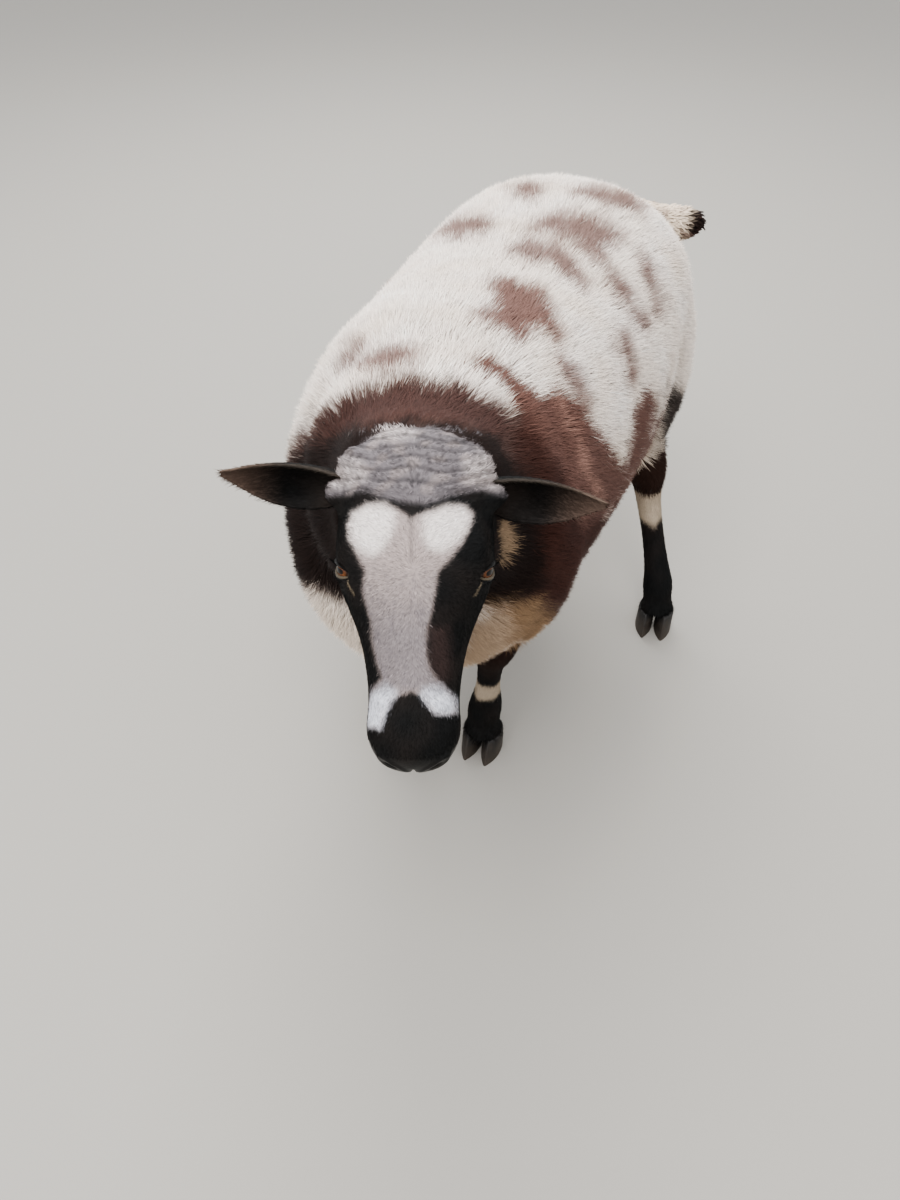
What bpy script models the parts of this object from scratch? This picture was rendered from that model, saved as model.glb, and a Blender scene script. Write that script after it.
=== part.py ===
"""A life-size standing Dutch Spotted ram: polled head, short fleece, bare legs, cloven hooves.

The ram faces -Y, its left side is +X and it stands on Z = 0. The body is lofted through a few
sections. Its fleece is a layer of rounded clumps over a core that reaches half way to their
tips. The pieces fit into one another's sockets with a thin gap. All sizes are in metres.
"""

import math

import bmesh
import bpy
import numpy as np
from mathutils import Matrix, Vector
from mathutils.bvhtree import BVHTree

GAP = 0.0003  # between pieces that meet face to face
FLEECE = 0.030  # depth of the fleece, from the skin to the tips
CORE = FLEECE / 2  # the solid core of the fleece lies this far below the tips

# Trunk sections at the tips of the fleece, from the breast to the buttocks: y, x, z of the widest
# line, half width, height above that line, depth below it, and squareness (2 is an ellipse).
TRUNK = (
    (-0.412, -0.002, 0.452, 0.060, 0.058, 0.070, 2.0),
    (-0.378, -0.004, 0.462, 0.126, 0.124, 0.138, 2.1),
    (-0.308, -0.006, 0.480, 0.174, 0.200, 0.200, 2.2),
    (-0.224, -0.008, 0.490, 0.192, 0.230, 0.218, 2.3),
    (-0.119, -0.009, 0.492, 0.202, 0.230, 0.222, 2.3),
    (-0.014, -0.011, 0.495, 0.212, 0.223, 0.216, 2.3),
    (0.081, -0.012, 0.505, 0.217, 0.215, 0.190, 2.3),
    (0.167, -0.011, 0.525, 0.210, 0.203, 0.158, 2.3),
    (0.243, -0.008, 0.540, 0.200, 0.184, 0.140, 2.25),
    (0.312, -0.005, 0.546, 0.167, 0.144, 0.130, 2.15),
    (0.356, -0.001, 0.542, 0.098, 0.084, 0.100, 2.0),
)

# Head frame: the poll is its origin, its axis runs down the face to the nose.
POLL = Vector((0.072, -0.449, 0.691))
HEAD_YAW = math.radians(23)  # towards the left
HEAD_PITCH = math.radians(48)  # nose down
HEAD_ROLL = math.radians(-2)

# Head sections along that axis: distance from the poll, depth of the widest line below the face
# line, half width, height above it, depth below it, squareness, and how much the jaw narrows.
HEAD = (
    (-0.046, -0.062, 0.026, 0.022, 0.030, 2.0, 0.10),
    (-0.034, -0.060, 0.049, 0.044, 0.054, 2.2, 0.20),
    (-0.008, -0.058, 0.065, 0.060, 0.074, 2.3, 0.30),
    (0.030, -0.058, 0.073, 0.070, 0.086, 2.6, 0.36),
    (0.070, -0.060, 0.0765, 0.076, 0.094, 2.8, 0.40),
    (0.100, -0.062, 0.0745, 0.075, 0.092, 2.7, 0.42),
    (0.130, -0.063, 0.064, 0.069, 0.084, 2.5, 0.42),
    (0.160, -0.063, 0.054, 0.062, 0.072, 2.4, 0.36),
    (0.190, -0.062, 0.047, 0.054, 0.058, 2.4, 0.28),
    (0.220, -0.060, 0.0445, 0.047, 0.048, 2.5, 0.20),
    (0.245, -0.060, 0.0465, 0.043, 0.044, 2.6, 0.12),
    (0.266, -0.061, 0.042, 0.037, 0.038, 2.5, 0.08),
    (0.280, -0.062, 0.031, 0.026, 0.028, 2.3, 0.05),
    (0.288, -0.063, 0.014, 0.012, 0.013, 2.0, 0.00),
)

# Neck sections, from inside the shoulders to behind the poll: centre, half width, height, depth.
NECK = (
    (0.000, -0.180, 0.545, 0.150, 0.160, 0.165),
    (0.008, -0.260, 0.562, 0.148, 0.152, 0.180),
    (0.024, -0.325, 0.583, 0.140, 0.132, 0.168),
    (0.038, -0.368, 0.602, 0.112, 0.110, 0.142),
    (0.046, -0.398, 0.613, 0.086, 0.092, 0.116),
    (0.050, -0.418, 0.618, 0.060, 0.066, 0.086),
)
NECK_FADE = (3.2, -0.6)  # share of the fleece's depth along the neck, kept between 0 and 1
NECK_CUT_POINT = Vector((0.0, -0.22, 0.74))  # the cut runs from the withers to the breast
NECK_CUT_NORMAL = Vector((0.0, -0.773, 0.635))
NAPE = np.array((0.066, -0.435, 0.680))
NAPE_HAIR = 0.105  # the hair is short, and no clumps grow, this far round the nape
GROIN = np.array((0.0, 0.215, 0.355))
GROIN_HAIR = 0.115  # and this far round the groin

# Shoulder and thigh muscles that swell the trunk's sides: centre, radii, for the left side.
SHOULDER = ((0.098, -0.235, 0.460), (0.088, 0.115, 0.165))
THIGH = ((0.118, 0.212, 0.474), (0.094, 0.122, 0.184))

# Legs, top to bottom: x, y, z, half width across, half width fore and aft.
FORELEG = (
    (0.096, -0.212, 0.395, 0.042, 0.056),
    (0.091, -0.216, 0.345, 0.037, 0.046),
    (0.085, -0.222, 0.290, 0.030, 0.035),
    (0.076, -0.230, 0.242, 0.028, 0.031),
    (0.068, -0.229, 0.205, 0.0195, 0.023),
    (0.061, -0.225, 0.150, 0.0175, 0.020),
    (0.055, -0.221, 0.108, 0.022, 0.025),
    (0.052, -0.225, 0.082, 0.0260, 0.029),
    (0.051, -0.235, 0.058, 0.0240, 0.025),
    (0.051, -0.243, 0.041, 0.0290, 0.030),
)
HINDLEG = (
    (0.100, 0.204, 0.440, 0.036, 0.054),
    (0.120, 0.196, 0.398, 0.038, 0.055),
    (0.143, 0.200, 0.350, 0.036, 0.049),
    (0.160, 0.220, 0.308, 0.030, 0.043),
    (0.172, 0.232, 0.272, 0.027, 0.037),
    (0.182, 0.224, 0.228, 0.0205, 0.026),
    (0.206, 0.202, 0.165, 0.0185, 0.021),
    (0.226, 0.183, 0.112, 0.022, 0.025),
    (0.234, 0.176, 0.085, 0.0260, 0.029),
    (0.240, 0.166, 0.058, 0.0240, 0.025),
    (0.243, 0.158, 0.041, 0.0290, 0.030),
)
# Each foot stands here, as x, y and the turn of its toes in degrees to the left.
FEET = {
    "fore_left": (0.062, -0.220, 4),
    "fore_right": (-0.058, -0.270, -4),
    "hind_left": (0.243, 0.158, 10),
    "hind_right": (-0.165, 0.215, -8),
}

HOOF_TOP = 0.0407
LEVEL_BELOW = 0.12  # a leg's rings turn level over this height above the hooves
HOOF_TOE = 0.041  # from the foot's middle to the toe at the ground
HOOF_HEEL = 0.029
HOOF_HALF = 0.0150  # half width of one claw
HOOF_SPREAD = 0.0166  # from the foot's middle to the claw's
HOOF_LEVELS = ((HOOF_TOP, 0.62), (0.026, 0.80), (0.0, 1.0))  # height, reach of the toe there
HOOF_POINT = 0.55  # the toe narrows by this share
HOOF_TAPER = 0.14  # a claw is this share narrower where the toe reaches nothing
DEWCLAW = (0.0065, 0.0085, 0.0115)  # radii of the two small claws behind each fetlock
DEWCLAW_PLACE = (0.0125, 0.024, 0.078)  # out to each side and back from the leg's middle, and up

EYE_RADIUS = 0.0138
EYE = (0.088, 0.0600, -0.030)  # along the head's axis, out to the side, below the face line
LID = 0.0042  # thickness of the lids over the eyeball
LID_SLIT = (0.0146, 0.0064, 0.0110)  # half length, half height and depth of the opening
LID_TURN = math.radians(-14)  # the slit runs down towards the nose
EYE_LOOK = (0.30, 0.86, 0.42)  # along the head's axis, to the side and up

NOSTRIL = ((0.2765, 0.0190, -0.047), (0.0115, 0.0046, 0.0090))  # place, half sizes
NOSTRIL_LOOK = (-0.45, 0.75, 0.50)  # its long way: along the axis, to the side, up
NOSTRIL_SLOPE = (0.0, 0.5, -0.8)
CHIN = ((0.256, 0.0, -0.098), (0.0300, 0.0260, 0.0150))
LIP = ((0.262, 0.0150, -0.080), (0.0225, 0.0190, 0.0165))
MOUTH_END = 0.206  # along the head's axis, where the corners of the mouth lie
MOUTH_FRONT = 0.291
MOUTH_WIDE = 0.0465  # half width of the mouth's line at its corners
MOUTH_LEVEL = -0.0885  # below the face line
MOUTH_SLIT = 0.0013  # half height of the line of the mouth
MOUTH_DEPTH = 0.0095
MOUTH_CORNER = 0.006  # the corners lie this far above the mouth's front
MOUTH_OUT = 0.006  # the cut starts this far outside the line
MOUTH_FLARE = (2.2, 0.6)  # its half height there, and at its bottom, as shares of the line's

# Ears: half widths and cup depths from root to tip, at even steps.
EAR_LENGTH = 0.124
EAR_HALF = (0.0150, 0.0195, 0.0245, 0.0275, 0.0285, 0.0275, 0.0245, 0.0190, 0.0115, 0.0035)
EAR_CUP = (0.0140, 0.0165, 0.0175, 0.0165, 0.0145, 0.0120, 0.0095, 0.0070, 0.0045, 0.0022)
EAR_SKIN = 0.0032  # thickness of the ear
EAR_ROOT = (0.016, 0.060, -0.036)  # along, side, up in the head frame
EAR_POINT = {"left": (0.12, 1.0, -0.10), "right": (-0.075, 1.0, 0.03)}
EAR_OPEN = (0.74, 0.12, 0.66)  # the cup faces the nose and forward
EAR_DOWN = (1.0, 0.0, -0.6)  # the lower edge lies this way from the upper one
EAR_BOW = 0.75  # the lower edge takes this share of the ear's widening
EAR_ARCH = 0.010  # the middle of the ear bends back by this

# Tail, root to tip: x, y, z, half width.
TAIL = (
    (0.002, 0.290, 0.618, 0.036),
    (0.010, 0.345, 0.624, 0.036),
    (0.044, 0.388, 0.620, 0.033),
    (0.090, 0.410, 0.613, 0.030),
    (0.128, 0.419, 0.617, 0.026),
    (0.150, 0.424, 0.624, 0.015),
)
SCROTUM = (
    (0.000, 0.178, 0.430, 0.034, 0.046),
    (0.002, 0.190, 0.380, 0.036, 0.038),
    (0.004, 0.200, 0.330, 0.048, 0.041),
    (0.004, 0.204, 0.288, 0.050, 0.043),
    (0.004, 0.204, 0.258, 0.036, 0.032),
    (0.004, 0.204, 0.247, 0.015, 0.013),
)

# Clumps of the fleece: half length along the lie, half width, half height, for three sizes.
CLUMP_SIZES = (
    (0.069, 0.063, 0.033),
    (0.074, 0.067, 0.035),
    (0.079, 0.071, 0.037),
)
CLUMP_VARIES = 0.06  # each size of a clump varies by this share
# Rings of a clump, from its tip to its root: height and width as shares of its half sizes.
CLUMP_RINGS = ((0.74, 0.66), (0.08, 1.0))
CLUMP_ENDS = (1.0, -1.0)
CLUMP_SIDES = 7
CLUMP_SPACING = 0.077
CLUMP_TRIALS = 6000  # places tried, of which an even choice is kept
CLUMP_EVENING = 12  # times that the chosen places move apart to even distances
CLUMP_SEED = 7
CLUMP_LIFT = math.radians(7)  # the rear of each clump stands up a little
CLUMP_CLEAR = 0.014  # from a clump's middle to a leg, the tail or the head
LIE = np.array((0.0, 1.0, -0.55))  # the fleece lies back and down
LIE_VARIES = 0.25
TAIL_CLUMP = 0.50  # size of the tail's clumps against the body's
TAIL_CORE = 0.005  # the tail's core lies this far below its tips
TAIL_SPACING = 0.050
TAIL_TIP = 0.2  # the core stops short of the tail's tip by this share of the last section
TAIL_FREE = 0.372  # the tail leaves the fleece of the rump at this y


def unit(vector):
    return vector / np.linalg.norm(vector, axis=-1, keepdims=True)


def through(table, count):
    """Rows evenly spread along a cubic curve through the rows of a table."""
    rows = np.asarray(table, float)
    slope = np.gradient(rows, axis=0)
    spot = np.linspace(0, len(rows) - 1, count)
    first = np.minimum(spot.astype(int), len(rows) - 2)
    t = (spot - first)[:, None]
    return (
        (2 * t**3 - 3 * t**2 + 1) * rows[first]
        + (t**3 - 2 * t**2 + t) * slope[first]
        + (3 * t**2 - 2 * t**3) * rows[first + 1]
        + (t**3 - t**2) * slope[first + 1]
    )


def oval(around, power):
    """Across and up parts of a unit superellipse, one row for each power."""
    angle = np.arange(around) * 2 * math.pi / around
    root = 2 / np.asarray(power, float).reshape(-1, 1)
    across, up = np.cos(angle), np.sin(angle)
    return np.sign(across) * abs(across) ** root, np.sign(up) * abs(up) ** root


def new_object(name, mesh):
    made = bpy.data.objects.new(name, mesh)
    bpy.context.scene.collection.objects.link(made)
    return made


def triangulate(mesh, outward=False):
    """Splits all faces into triangles, so that a piece and its socket share the same ones."""
    body = bmesh.new()
    body.from_mesh(mesh)
    if outward and body.calc_volume(signed=True) < 0:
        bmesh.ops.reverse_faces(body, faces=body.faces)
    bmesh.ops.triangulate(body, faces=body.faces)
    body.to_mesh(mesh)
    body.free()


def mesh_object(name, points, faces):
    mesh = bpy.data.meshes.new(name)
    mesh.from_pydata([tuple(point) for point in points], [], faces)
    triangulate(mesh, outward=True)
    return new_object(name, mesh)


def loft(name, rings, ends=None):
    """A closed skin over a stack of rings, with a point at each end, or at the end ring's middle."""
    count, around, _ = rings.shape
    first, last = ends if ends is not None else (rings[0].mean(0), rings[-1].mean(0))
    points = np.vstack((rings.reshape(-1, 3), first, last))
    first_pole = count * around
    faces = []
    for i in range(around):
        j = (i + 1) % around
        faces.append((first_pole, j, i))
        faces.append((first_pole + 1, (count - 1) * around + i, (count - 1) * around + j))
        for k in range(count - 1):
            low, high = k * around, (k + 1) * around
            faces.append((low + i, low + j, high + j, high + i))
    return mesh_object(name, points, faces)


def path_frame(centres, sideways):
    """For each point of a path: a direction across it near sideways, and one square to both."""
    along = unit(np.gradient(centres, axis=0))
    across = unit(sideways - along * (along @ sideways)[:, None])
    return across, np.cross(across, along)


def trunk_rings(count, around, inset=0.0):
    rows = through(TRUNK, count)
    y, x, z, half, above, below = (rows[:, i : i + 1] for i in range(6))
    across, up = oval(around, rows[:, 6])
    height = np.where(up > 0, above - inset, below - inset)
    ends = np.clip(y, TRUNK[0][0] + inset, TRUNK[-1][0] - inset)
    return np.stack((x + (half - inset) * across, ends + 0 * up, z + height * up), axis=2)


def neck_rings(count, around, inset=0.0):
    """The neck's rings; any inset fades out towards the short hair behind the poll."""
    rows = through(NECK, count)
    centres = rows[:, :3]
    side, up = path_frame(centres, np.array((1.0, 0.0, 0.0)))
    up = np.where(up[:, 2:] < 0, -up, up)
    across, height = oval(around, 2.2)
    inset = inset * np.clip(np.linspace(*NECK_FADE, count), 0, 1)[:, None]
    reach = np.where(height > 0, rows[:, 4:5] - inset, rows[:, 5:6] - inset) * height
    sideways = (rows[:, 3:4] - inset) * across
    return centres[:, None] + sideways[..., None] * side[:, None] + reach[..., None] * up[:, None]


def limb_rings(table, count, around, sideways=(1.0, 0.0, 0.0)):
    """Rings square to a leg, tail or other limb; a table with one half width is round."""
    rows = through(table, count)
    centres = rows[:, :3]
    side, fore = path_frame(centres, np.array(sideways))
    across, deep = oval(around, 2.1)
    return (
        centres[:, None]
        + (rows[:, 3:4] * across)[..., None] * side[:, None]
        + (rows[:, -1:] * deep)[..., None] * fore[:, None]
    )


def head_frame():
    """Matrix from head places (side, up from the face line, along the axis) to the ram's."""
    level = math.cos(HEAD_PITCH)
    axis = Vector(
        (math.sin(HEAD_YAW) * level, -math.cos(HEAD_YAW) * level, -math.sin(HEAD_PITCH))
    )
    side = Vector((math.cos(HEAD_YAW), math.sin(HEAD_YAW), 0.0))
    side.rotate(Matrix.Rotation(HEAD_ROLL, 3, axis))
    up = axis.cross(side)
    frame = Matrix((side, up, axis)).transposed().to_4x4()
    frame.translation = POLL
    return frame


HEAD_FRAME = head_frame()


def from_head(along, side, up):
    return HEAD_FRAME @ Vector((side, up, along))


def head_direction(along, side, up):
    return (HEAD_FRAME.to_3x3() @ Vector((side, up, along))).normalized()


def frame_of(first, second):
    """A turn whose X is the first direction and whose Y lies as near the second as it can."""
    x = Vector(first).normalized()
    z = x.cross(Vector(second)).normalized()
    return Matrix((x, z.cross(x), z)).transposed().to_4x4()


def head_rings(count, around):
    rows = through(HEAD, count)
    along, middle, half, above, below = (rows[:, i : i + 1] for i in range(5))
    across, up = oval(around, rows[:, 5])
    narrow = 1 + rows[:, 6:7] * np.minimum(up, 0) ** 3
    local = np.stack(
        (half * across * narrow, middle + np.where(up > 0, above, below) * up, along + 0 * up),
        axis=2,
    )
    frame = np.array(HEAD_FRAME)
    return local @ frame[:3, :3].T + frame[:3, 3]


def ball(name, centre, radii, subdivisions=3, frame=None):
    body = bmesh.new()
    bmesh.ops.create_icosphere(body, subdivisions=subdivisions, radius=1.0)
    turn = frame if frame is not None else Matrix.Identity(4)
    body.transform(Matrix.Translation(centre) @ turn @ Matrix.Diagonal((*radii, 1.0)))
    mesh = bpy.data.meshes.new(name)
    body.to_mesh(mesh)
    body.free()
    return new_object(name, mesh)


def mirrored(centre):
    return (-centre[0], centre[1], centre[2])


def evaluated_mesh(target):
    graph = bpy.context.evaluated_depsgraph_get()
    return bpy.data.meshes.new_from_object(target.evaluated_get(graph))


def combine(target, others, operation, solver="EXACT"):
    """Applies one Boolean of all the other objects to the target, and removes them."""
    group = bpy.data.collections.new("operands")
    for other in others:
        group.objects.link(other)
    modifier = target.modifiers.new("join", "BOOLEAN")
    modifier.operation = operation
    modifier.solver = solver
    modifier.operand_type = "COLLECTION"
    modifier.collection = group
    made = evaluated_mesh(target)
    triangulate(made)
    target.modifiers.clear()
    target.data = made
    for other in others:
        bpy.data.objects.remove(other)
    bpy.data.collections.remove(group)
    return target


def copy_of(source, name):
    return new_object(name, source.data.copy())


def slab(name, point, normal, size=2.0):
    """A large box on the far side of a plane, used to cut away what lies there."""
    body = bmesh.new()
    bmesh.ops.create_cube(body, size=size)
    turn = Vector(normal).to_track_quat("Z", "Y").to_matrix().to_4x4()
    body.transform(Matrix.Translation(point) @ turn @ Matrix.Translation((0, 0, size / 2)))
    mesh = bpy.data.meshes.new(name)
    body.to_mesh(mesh)
    body.free()
    return new_object(name, mesh)


def keep_largest(target):
    """Drops every closed surface but the largest."""
    body = bmesh.new()
    body.from_mesh(target.data)
    left = set(body.faces)
    shells = []
    while left:
        shell, edge = set(), [next(iter(left))]
        while edge:
            face = edge.pop()
            if face in shell:
                continue
            shell.add(face)
            edge += [f for e in face.edges for f in e.link_faces if f not in shell]
        left -= shell
        shells.append(shell)
    shells.sort(key=lambda shell: sum(f.calc_area() for f in shell))
    for shell in shells[:-1]:
        bmesh.ops.delete(body, geom=list(shell), context="FACES")
    loose = [v for v in body.verts if not v.link_faces]
    bmesh.ops.delete(body, geom=loose, context="VERTS")
    body.to_mesh(target.data)
    body.free()


def swollen(source, by=GAP):
    """A copy of a closed mesh pushed out along its normals, to cut a socket with clearance."""
    grown = copy_of(source, "clearance")
    body = bmesh.new()
    body.from_mesh(grown.data)
    body.normal_update()
    for vertex in body.verts:
        vertex.co += vertex.normal * by * min(vertex.calc_shell_factor(), 1.5)
    body.to_mesh(grown.data)
    body.free()
    return grown


def paint(target, colour, roughness):
    material = bpy.data.materials.new(target.name)
    material.use_nodes = True
    shader = material.node_tree.nodes["Principled BSDF"]
    shader.inputs["Base Color"].default_value = (*colour, 1.0)
    shader.inputs["Roughness"].default_value = roughness
    shader.inputs["Metallic"].default_value = 0.0
    target.data.materials.clear()
    target.data.materials.append(material)
    target.data.shade_smooth()
    target.data.set_sharp_from_angle(angle=math.radians(50))


WHITE_FLEECE = (0.80, 0.74, 0.68)
BROWN_FLEECE = (0.16, 0.07, 0.05)
BLACK_HAIR = (0.02, 0.02, 0.02)
HORN = (0.05, 0.045, 0.04)
AMBER = (0.25, 0.14, 0.04)


def body_parts(inset):
    """Trunk, neck, shoulders and thighs, each drawn in by the inset."""
    parts = [loft("torso", trunk_rings(16, 22, inset)), loft("part", neck_rings(9, 20, inset))]
    for centre, radii in (SHOULDER, THIGH):
        drawn_in = [radius - inset for radius in radii]
        parts.append(ball("muscle", centre, drawn_in, 2))
        parts.append(ball("muscle", mirrored(centre), drawn_in, 2))
    return parts


def scattered(surface):
    """Random places all over a mesh, with the normals there."""
    mesh = surface.data
    mesh.calc_loop_triangles()
    corners = np.array([v.co for v in mesh.vertices])
    triangles = np.array([t.vertices[:] for t in mesh.loop_triangles])
    a, b, c = (corners[triangles[:, i]] for i in range(3))
    cross = np.cross(b - a, c - a)
    area = np.linalg.norm(cross, axis=1)
    draw = np.random.default_rng(CLUMP_SEED)
    picks = draw.choice(len(triangles), CLUMP_TRIALS, p=area / area.sum())
    u, v = draw.random((2, CLUMP_TRIALS, 1))
    over = u + v > 1
    u, v = np.where(over, 1 - u, u), np.where(over, 1 - v, v)
    return a[picks] + u * (b - a)[picks] + v * (c - a)[picks], unit(cross[picks])


def even_places(surface, spacing, grows):
    """An even choice of places where wool grows: each lies far from the rest, then they even out."""
    places, normals = scattered(surface)
    keep = grows(places)
    places, normals = places[keep], normals[keep]
    chosen = [0]
    nearest = np.linalg.norm(places - places[0], axis=1)
    while nearest.max() > spacing:
        chosen.append(int(nearest.argmax()))
        nearest = np.minimum(nearest, np.linalg.norm(places - places[chosen[-1]], axis=1))
    for _ in range(CLUMP_EVENING):
        apart = np.linalg.norm(places[:, None] - places[chosen], axis=2)
        owner = apart.argmin(axis=1)
        for i in range(len(chosen)):
            own = np.flatnonzero(owner == i)
            middle = places[own].mean(axis=0)
            chosen[i] = own[np.linalg.norm(places[own] - middle, axis=1).argmin()]
    return places[chosen], normals[chosen]


def held_in(outline, point):
    """The point, or the nearest one on the fleece's outer surface where it lies outside of it."""
    nearest, normal, _, _ = outline.find_nearest(point)
    return nearest if (Vector(point) - nearest).dot(normal) > 0 else point


def clump(outline, place, normal, lie, sizes):
    """A rounded clump whose tip touches the fleece's outer surface at a place; its root is sunk."""
    long, wide, high = sizes
    along = unit(lie - normal * (lie @ normal))
    across = np.cross(normal, along)
    ahead = along * math.cos(CLUMP_LIFT) + normal * math.sin(CLUMP_LIFT)
    upward = np.cross(ahead, across)
    middle = place - normal * high
    turn = np.arange(CLUMP_SIDES) * 2 * math.pi / CLUMP_SIDES
    rings = []
    for i, (lift, reach) in enumerate(CLUMP_RINGS):
        angle = turn + i * math.pi / CLUMP_SIDES
        x = np.cos(angle)[:, None] * long * reach
        y = np.sin(angle)[:, None] * wide * reach
        ring = middle + x * ahead + y * across + lift * high * upward
        rings.append([held_in(outline, point) for point in ring])
    ends = [middle + end * high * upward for end in CLUMP_ENDS]
    return loft("clump", np.array(rings), ends)


def clumps_over(surface, spacing, size, grows):
    """The fleece's clumps, set close over a surface, in sizes drawn from the named ones."""
    draw = np.random.default_rng(CLUMP_SEED + 1)
    mesh = surface.data
    outline = BVHTree.FromPolygons([v.co for v in mesh.vertices], [p.vertices for p in mesh.polygons])
    made = []
    for place, normal in zip(*even_places(surface, spacing, grows)):
        sizes = np.array(CLUMP_SIZES[draw.integers(len(CLUMP_SIZES))]) * size
        sizes *= draw.uniform(1 - CLUMP_VARIES, 1 + CLUMP_VARIES, 3)
        lie = LIE + draw.uniform(-LIE_VARIES, LIE_VARIES, 3)
        made.append(clump(outline, place, normal, lie, sizes))
    return made


def clear_of(limbs, places):
    """True where a place keeps clear of the rings of every limb, each ring taken as a ball."""
    clear = np.full(len(places), True)
    for rings in limbs:
        middles = rings.mean(axis=1)
        radii = np.linalg.norm(rings - middles[:, None], axis=2).mean(axis=1)
        apart = np.linalg.norm(places[:, None] - middles, axis=2) - radii
        clear &= apart.min(axis=1) > CLUMP_CLEAR
    return clear


def fleeced_body(limbs):
    """Trunk and neck as one solid: a core half way up the fleece, and clumps out to its tips."""

    def grows(places):
        woolly = clear_of(limbs, places)
        for bare, reach in ((NAPE, NAPE_HAIR), (GROIN, GROIN_HAIR)):
            woolly &= np.linalg.norm(places - bare, axis=1) > reach
        return woolly

    surface, *others = body_parts(0.0)
    combine(surface, others, "UNION")
    clumps = clumps_over(surface, CLUMP_SPACING, 1.0, grows)
    bpy.data.objects.remove(surface)
    core, *others = body_parts(CORE)
    return combine(core, others + clumps, "UNION", "MANIFOLD")


def woolly_tail():
    """The tail's core with smaller clumps on the length that hangs free."""
    surface = loft("surface", limb_rings(TAIL, 12, 14))
    clumps = clumps_over(surface, TAIL_SPACING, TAIL_CLUMP, lambda places: places[:, 1] > TAIL_FREE)
    bpy.data.objects.remove(surface)
    slim = np.array(TAIL)
    slim[:, 3] -= TAIL_CORE
    slim[-1, :3] += (slim[-2, :3] - slim[-1, :3]) * TAIL_TIP
    return combine(loft("tail", limb_rings(slim, 8, 9)), clumps, "UNION", "MANIFOLD")


def part_neck(body):
    """Splits the body along the line from the withers to the breast, and returns the neck."""
    half_gap = NECK_CUT_NORMAL * (GAP / 2)
    neck = copy_of(body, "neck")
    behind = slab("cut", NECK_CUT_POINT + half_gap, -NECK_CUT_NORMAL)
    combine(neck, [behind], "DIFFERENCE", "MANIFOLD")
    ahead = slab("cut", NECK_CUT_POINT - half_gap, NECK_CUT_NORMAL)
    combine(body, [ahead], "DIFFERENCE", "MANIFOLD")
    return neck


def eye(name, side, radius):
    along, out, up = EYE
    return ball(name, from_head(along, side * out, up), (radius,) * 3)


def lid_frame(side):
    """A turn whose X runs along the slit between the lids and whose Z looks out of the eye."""
    along, out, up = EYE_LOOK
    look = head_direction(along, side * out, up)
    slit = head_direction(math.cos(LID_TURN), 0.0, math.sin(LID_TURN))
    x = (slit - look * slit.dot(look)).normalized()
    return Matrix((x, look.cross(x), look)).transposed().to_4x4()


def mouth_line():
    """A thin wedge that runs round the muzzle from one corner of the mouth to the other."""
    steps = 25
    turn = np.linspace(-math.pi / 2, math.pi / 2, steps)
    along = MOUTH_END + (MOUTH_FRONT - MOUTH_END) * np.cos(turn) ** 0.8
    side = MOUTH_WIDE * np.sign(turn) * abs(np.sin(turn)) ** 0.75
    level = MOUTH_LEVEL + MOUTH_CORNER * np.sin(turn) ** 2
    rings = []
    for a, s, u in zip(along, side, level):
        middle = Vector((s, u, a))
        inward = Vector((-s, 0.0, MOUTH_END - a)).normalized()
        outer = middle - inward * MOUTH_OUT
        inner = middle + inward * MOUTH_DEPTH
        wide, thin = (Vector((0.0, MOUTH_SLIT * share, 0.0)) for share in MOUTH_FLARE)
        ring = (outer - wide, outer + wide, inner + thin, inner - thin)
        rings.append([tuple(HEAD_FRAME @ point) for point in ring])
    return loft("mouth", np.array(rings))


def head():
    """The skull's loft with lids, lips and chin, cut by the sockets, nostrils and mouth."""
    skull = loft("head", head_rings(26, 26))
    added = [ball("chin", from_head(*CHIN[0]), CHIN[1], 2, HEAD_FRAME.to_3x3().to_4x4() @ SIDE_FIRST)]
    cuts = [mouth_line()]
    for side in (1, -1):
        along, out, up = EYE
        added.append(ball("lid", from_head(along, side * out, up), (EYE_RADIUS + LID,) * 3))
        a, s, u = LIP[0]
        added.append(
            ball("lip", from_head(a, side * s, u), LIP[1], 2, HEAD_FRAME.to_3x3().to_4x4() @ SIDE_FIRST)
        )
        cuts.append(eye("socket", side, EYE_RADIUS + GAP))
        frame = lid_frame(side)
        look = frame.to_3x3().col[2]
        opening = from_head(along, side * out, up) + look * (EYE_RADIUS + LID)
        cuts.append(ball("slit", opening, LID_SLIT, 2, frame))
        place, sizes = NOSTRIL
        (a, s, u), (d, e, f) = NOSTRIL_LOOK, NOSTRIL_SLOPE
        nostril = frame_of(head_direction(a, side * s, u), head_direction(d, side * e, f))
        cuts.append(ball("nostril", from_head(place[0], side * place[1], place[2]), sizes, 2, nostril))
    combine(skull, added, "UNION")
    combine(skull, cuts, "DIFFERENCE")
    keep_largest(skull)
    return skull


# Turns a ball's X along the head's axis, its Y to the side and its Z up from the face.
SIDE_FIRST = Matrix(((0, 1, 0, 0), (0, 0, 1, 0), (1, 0, 0, 0), (0, 0, 0, 1)))


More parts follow.
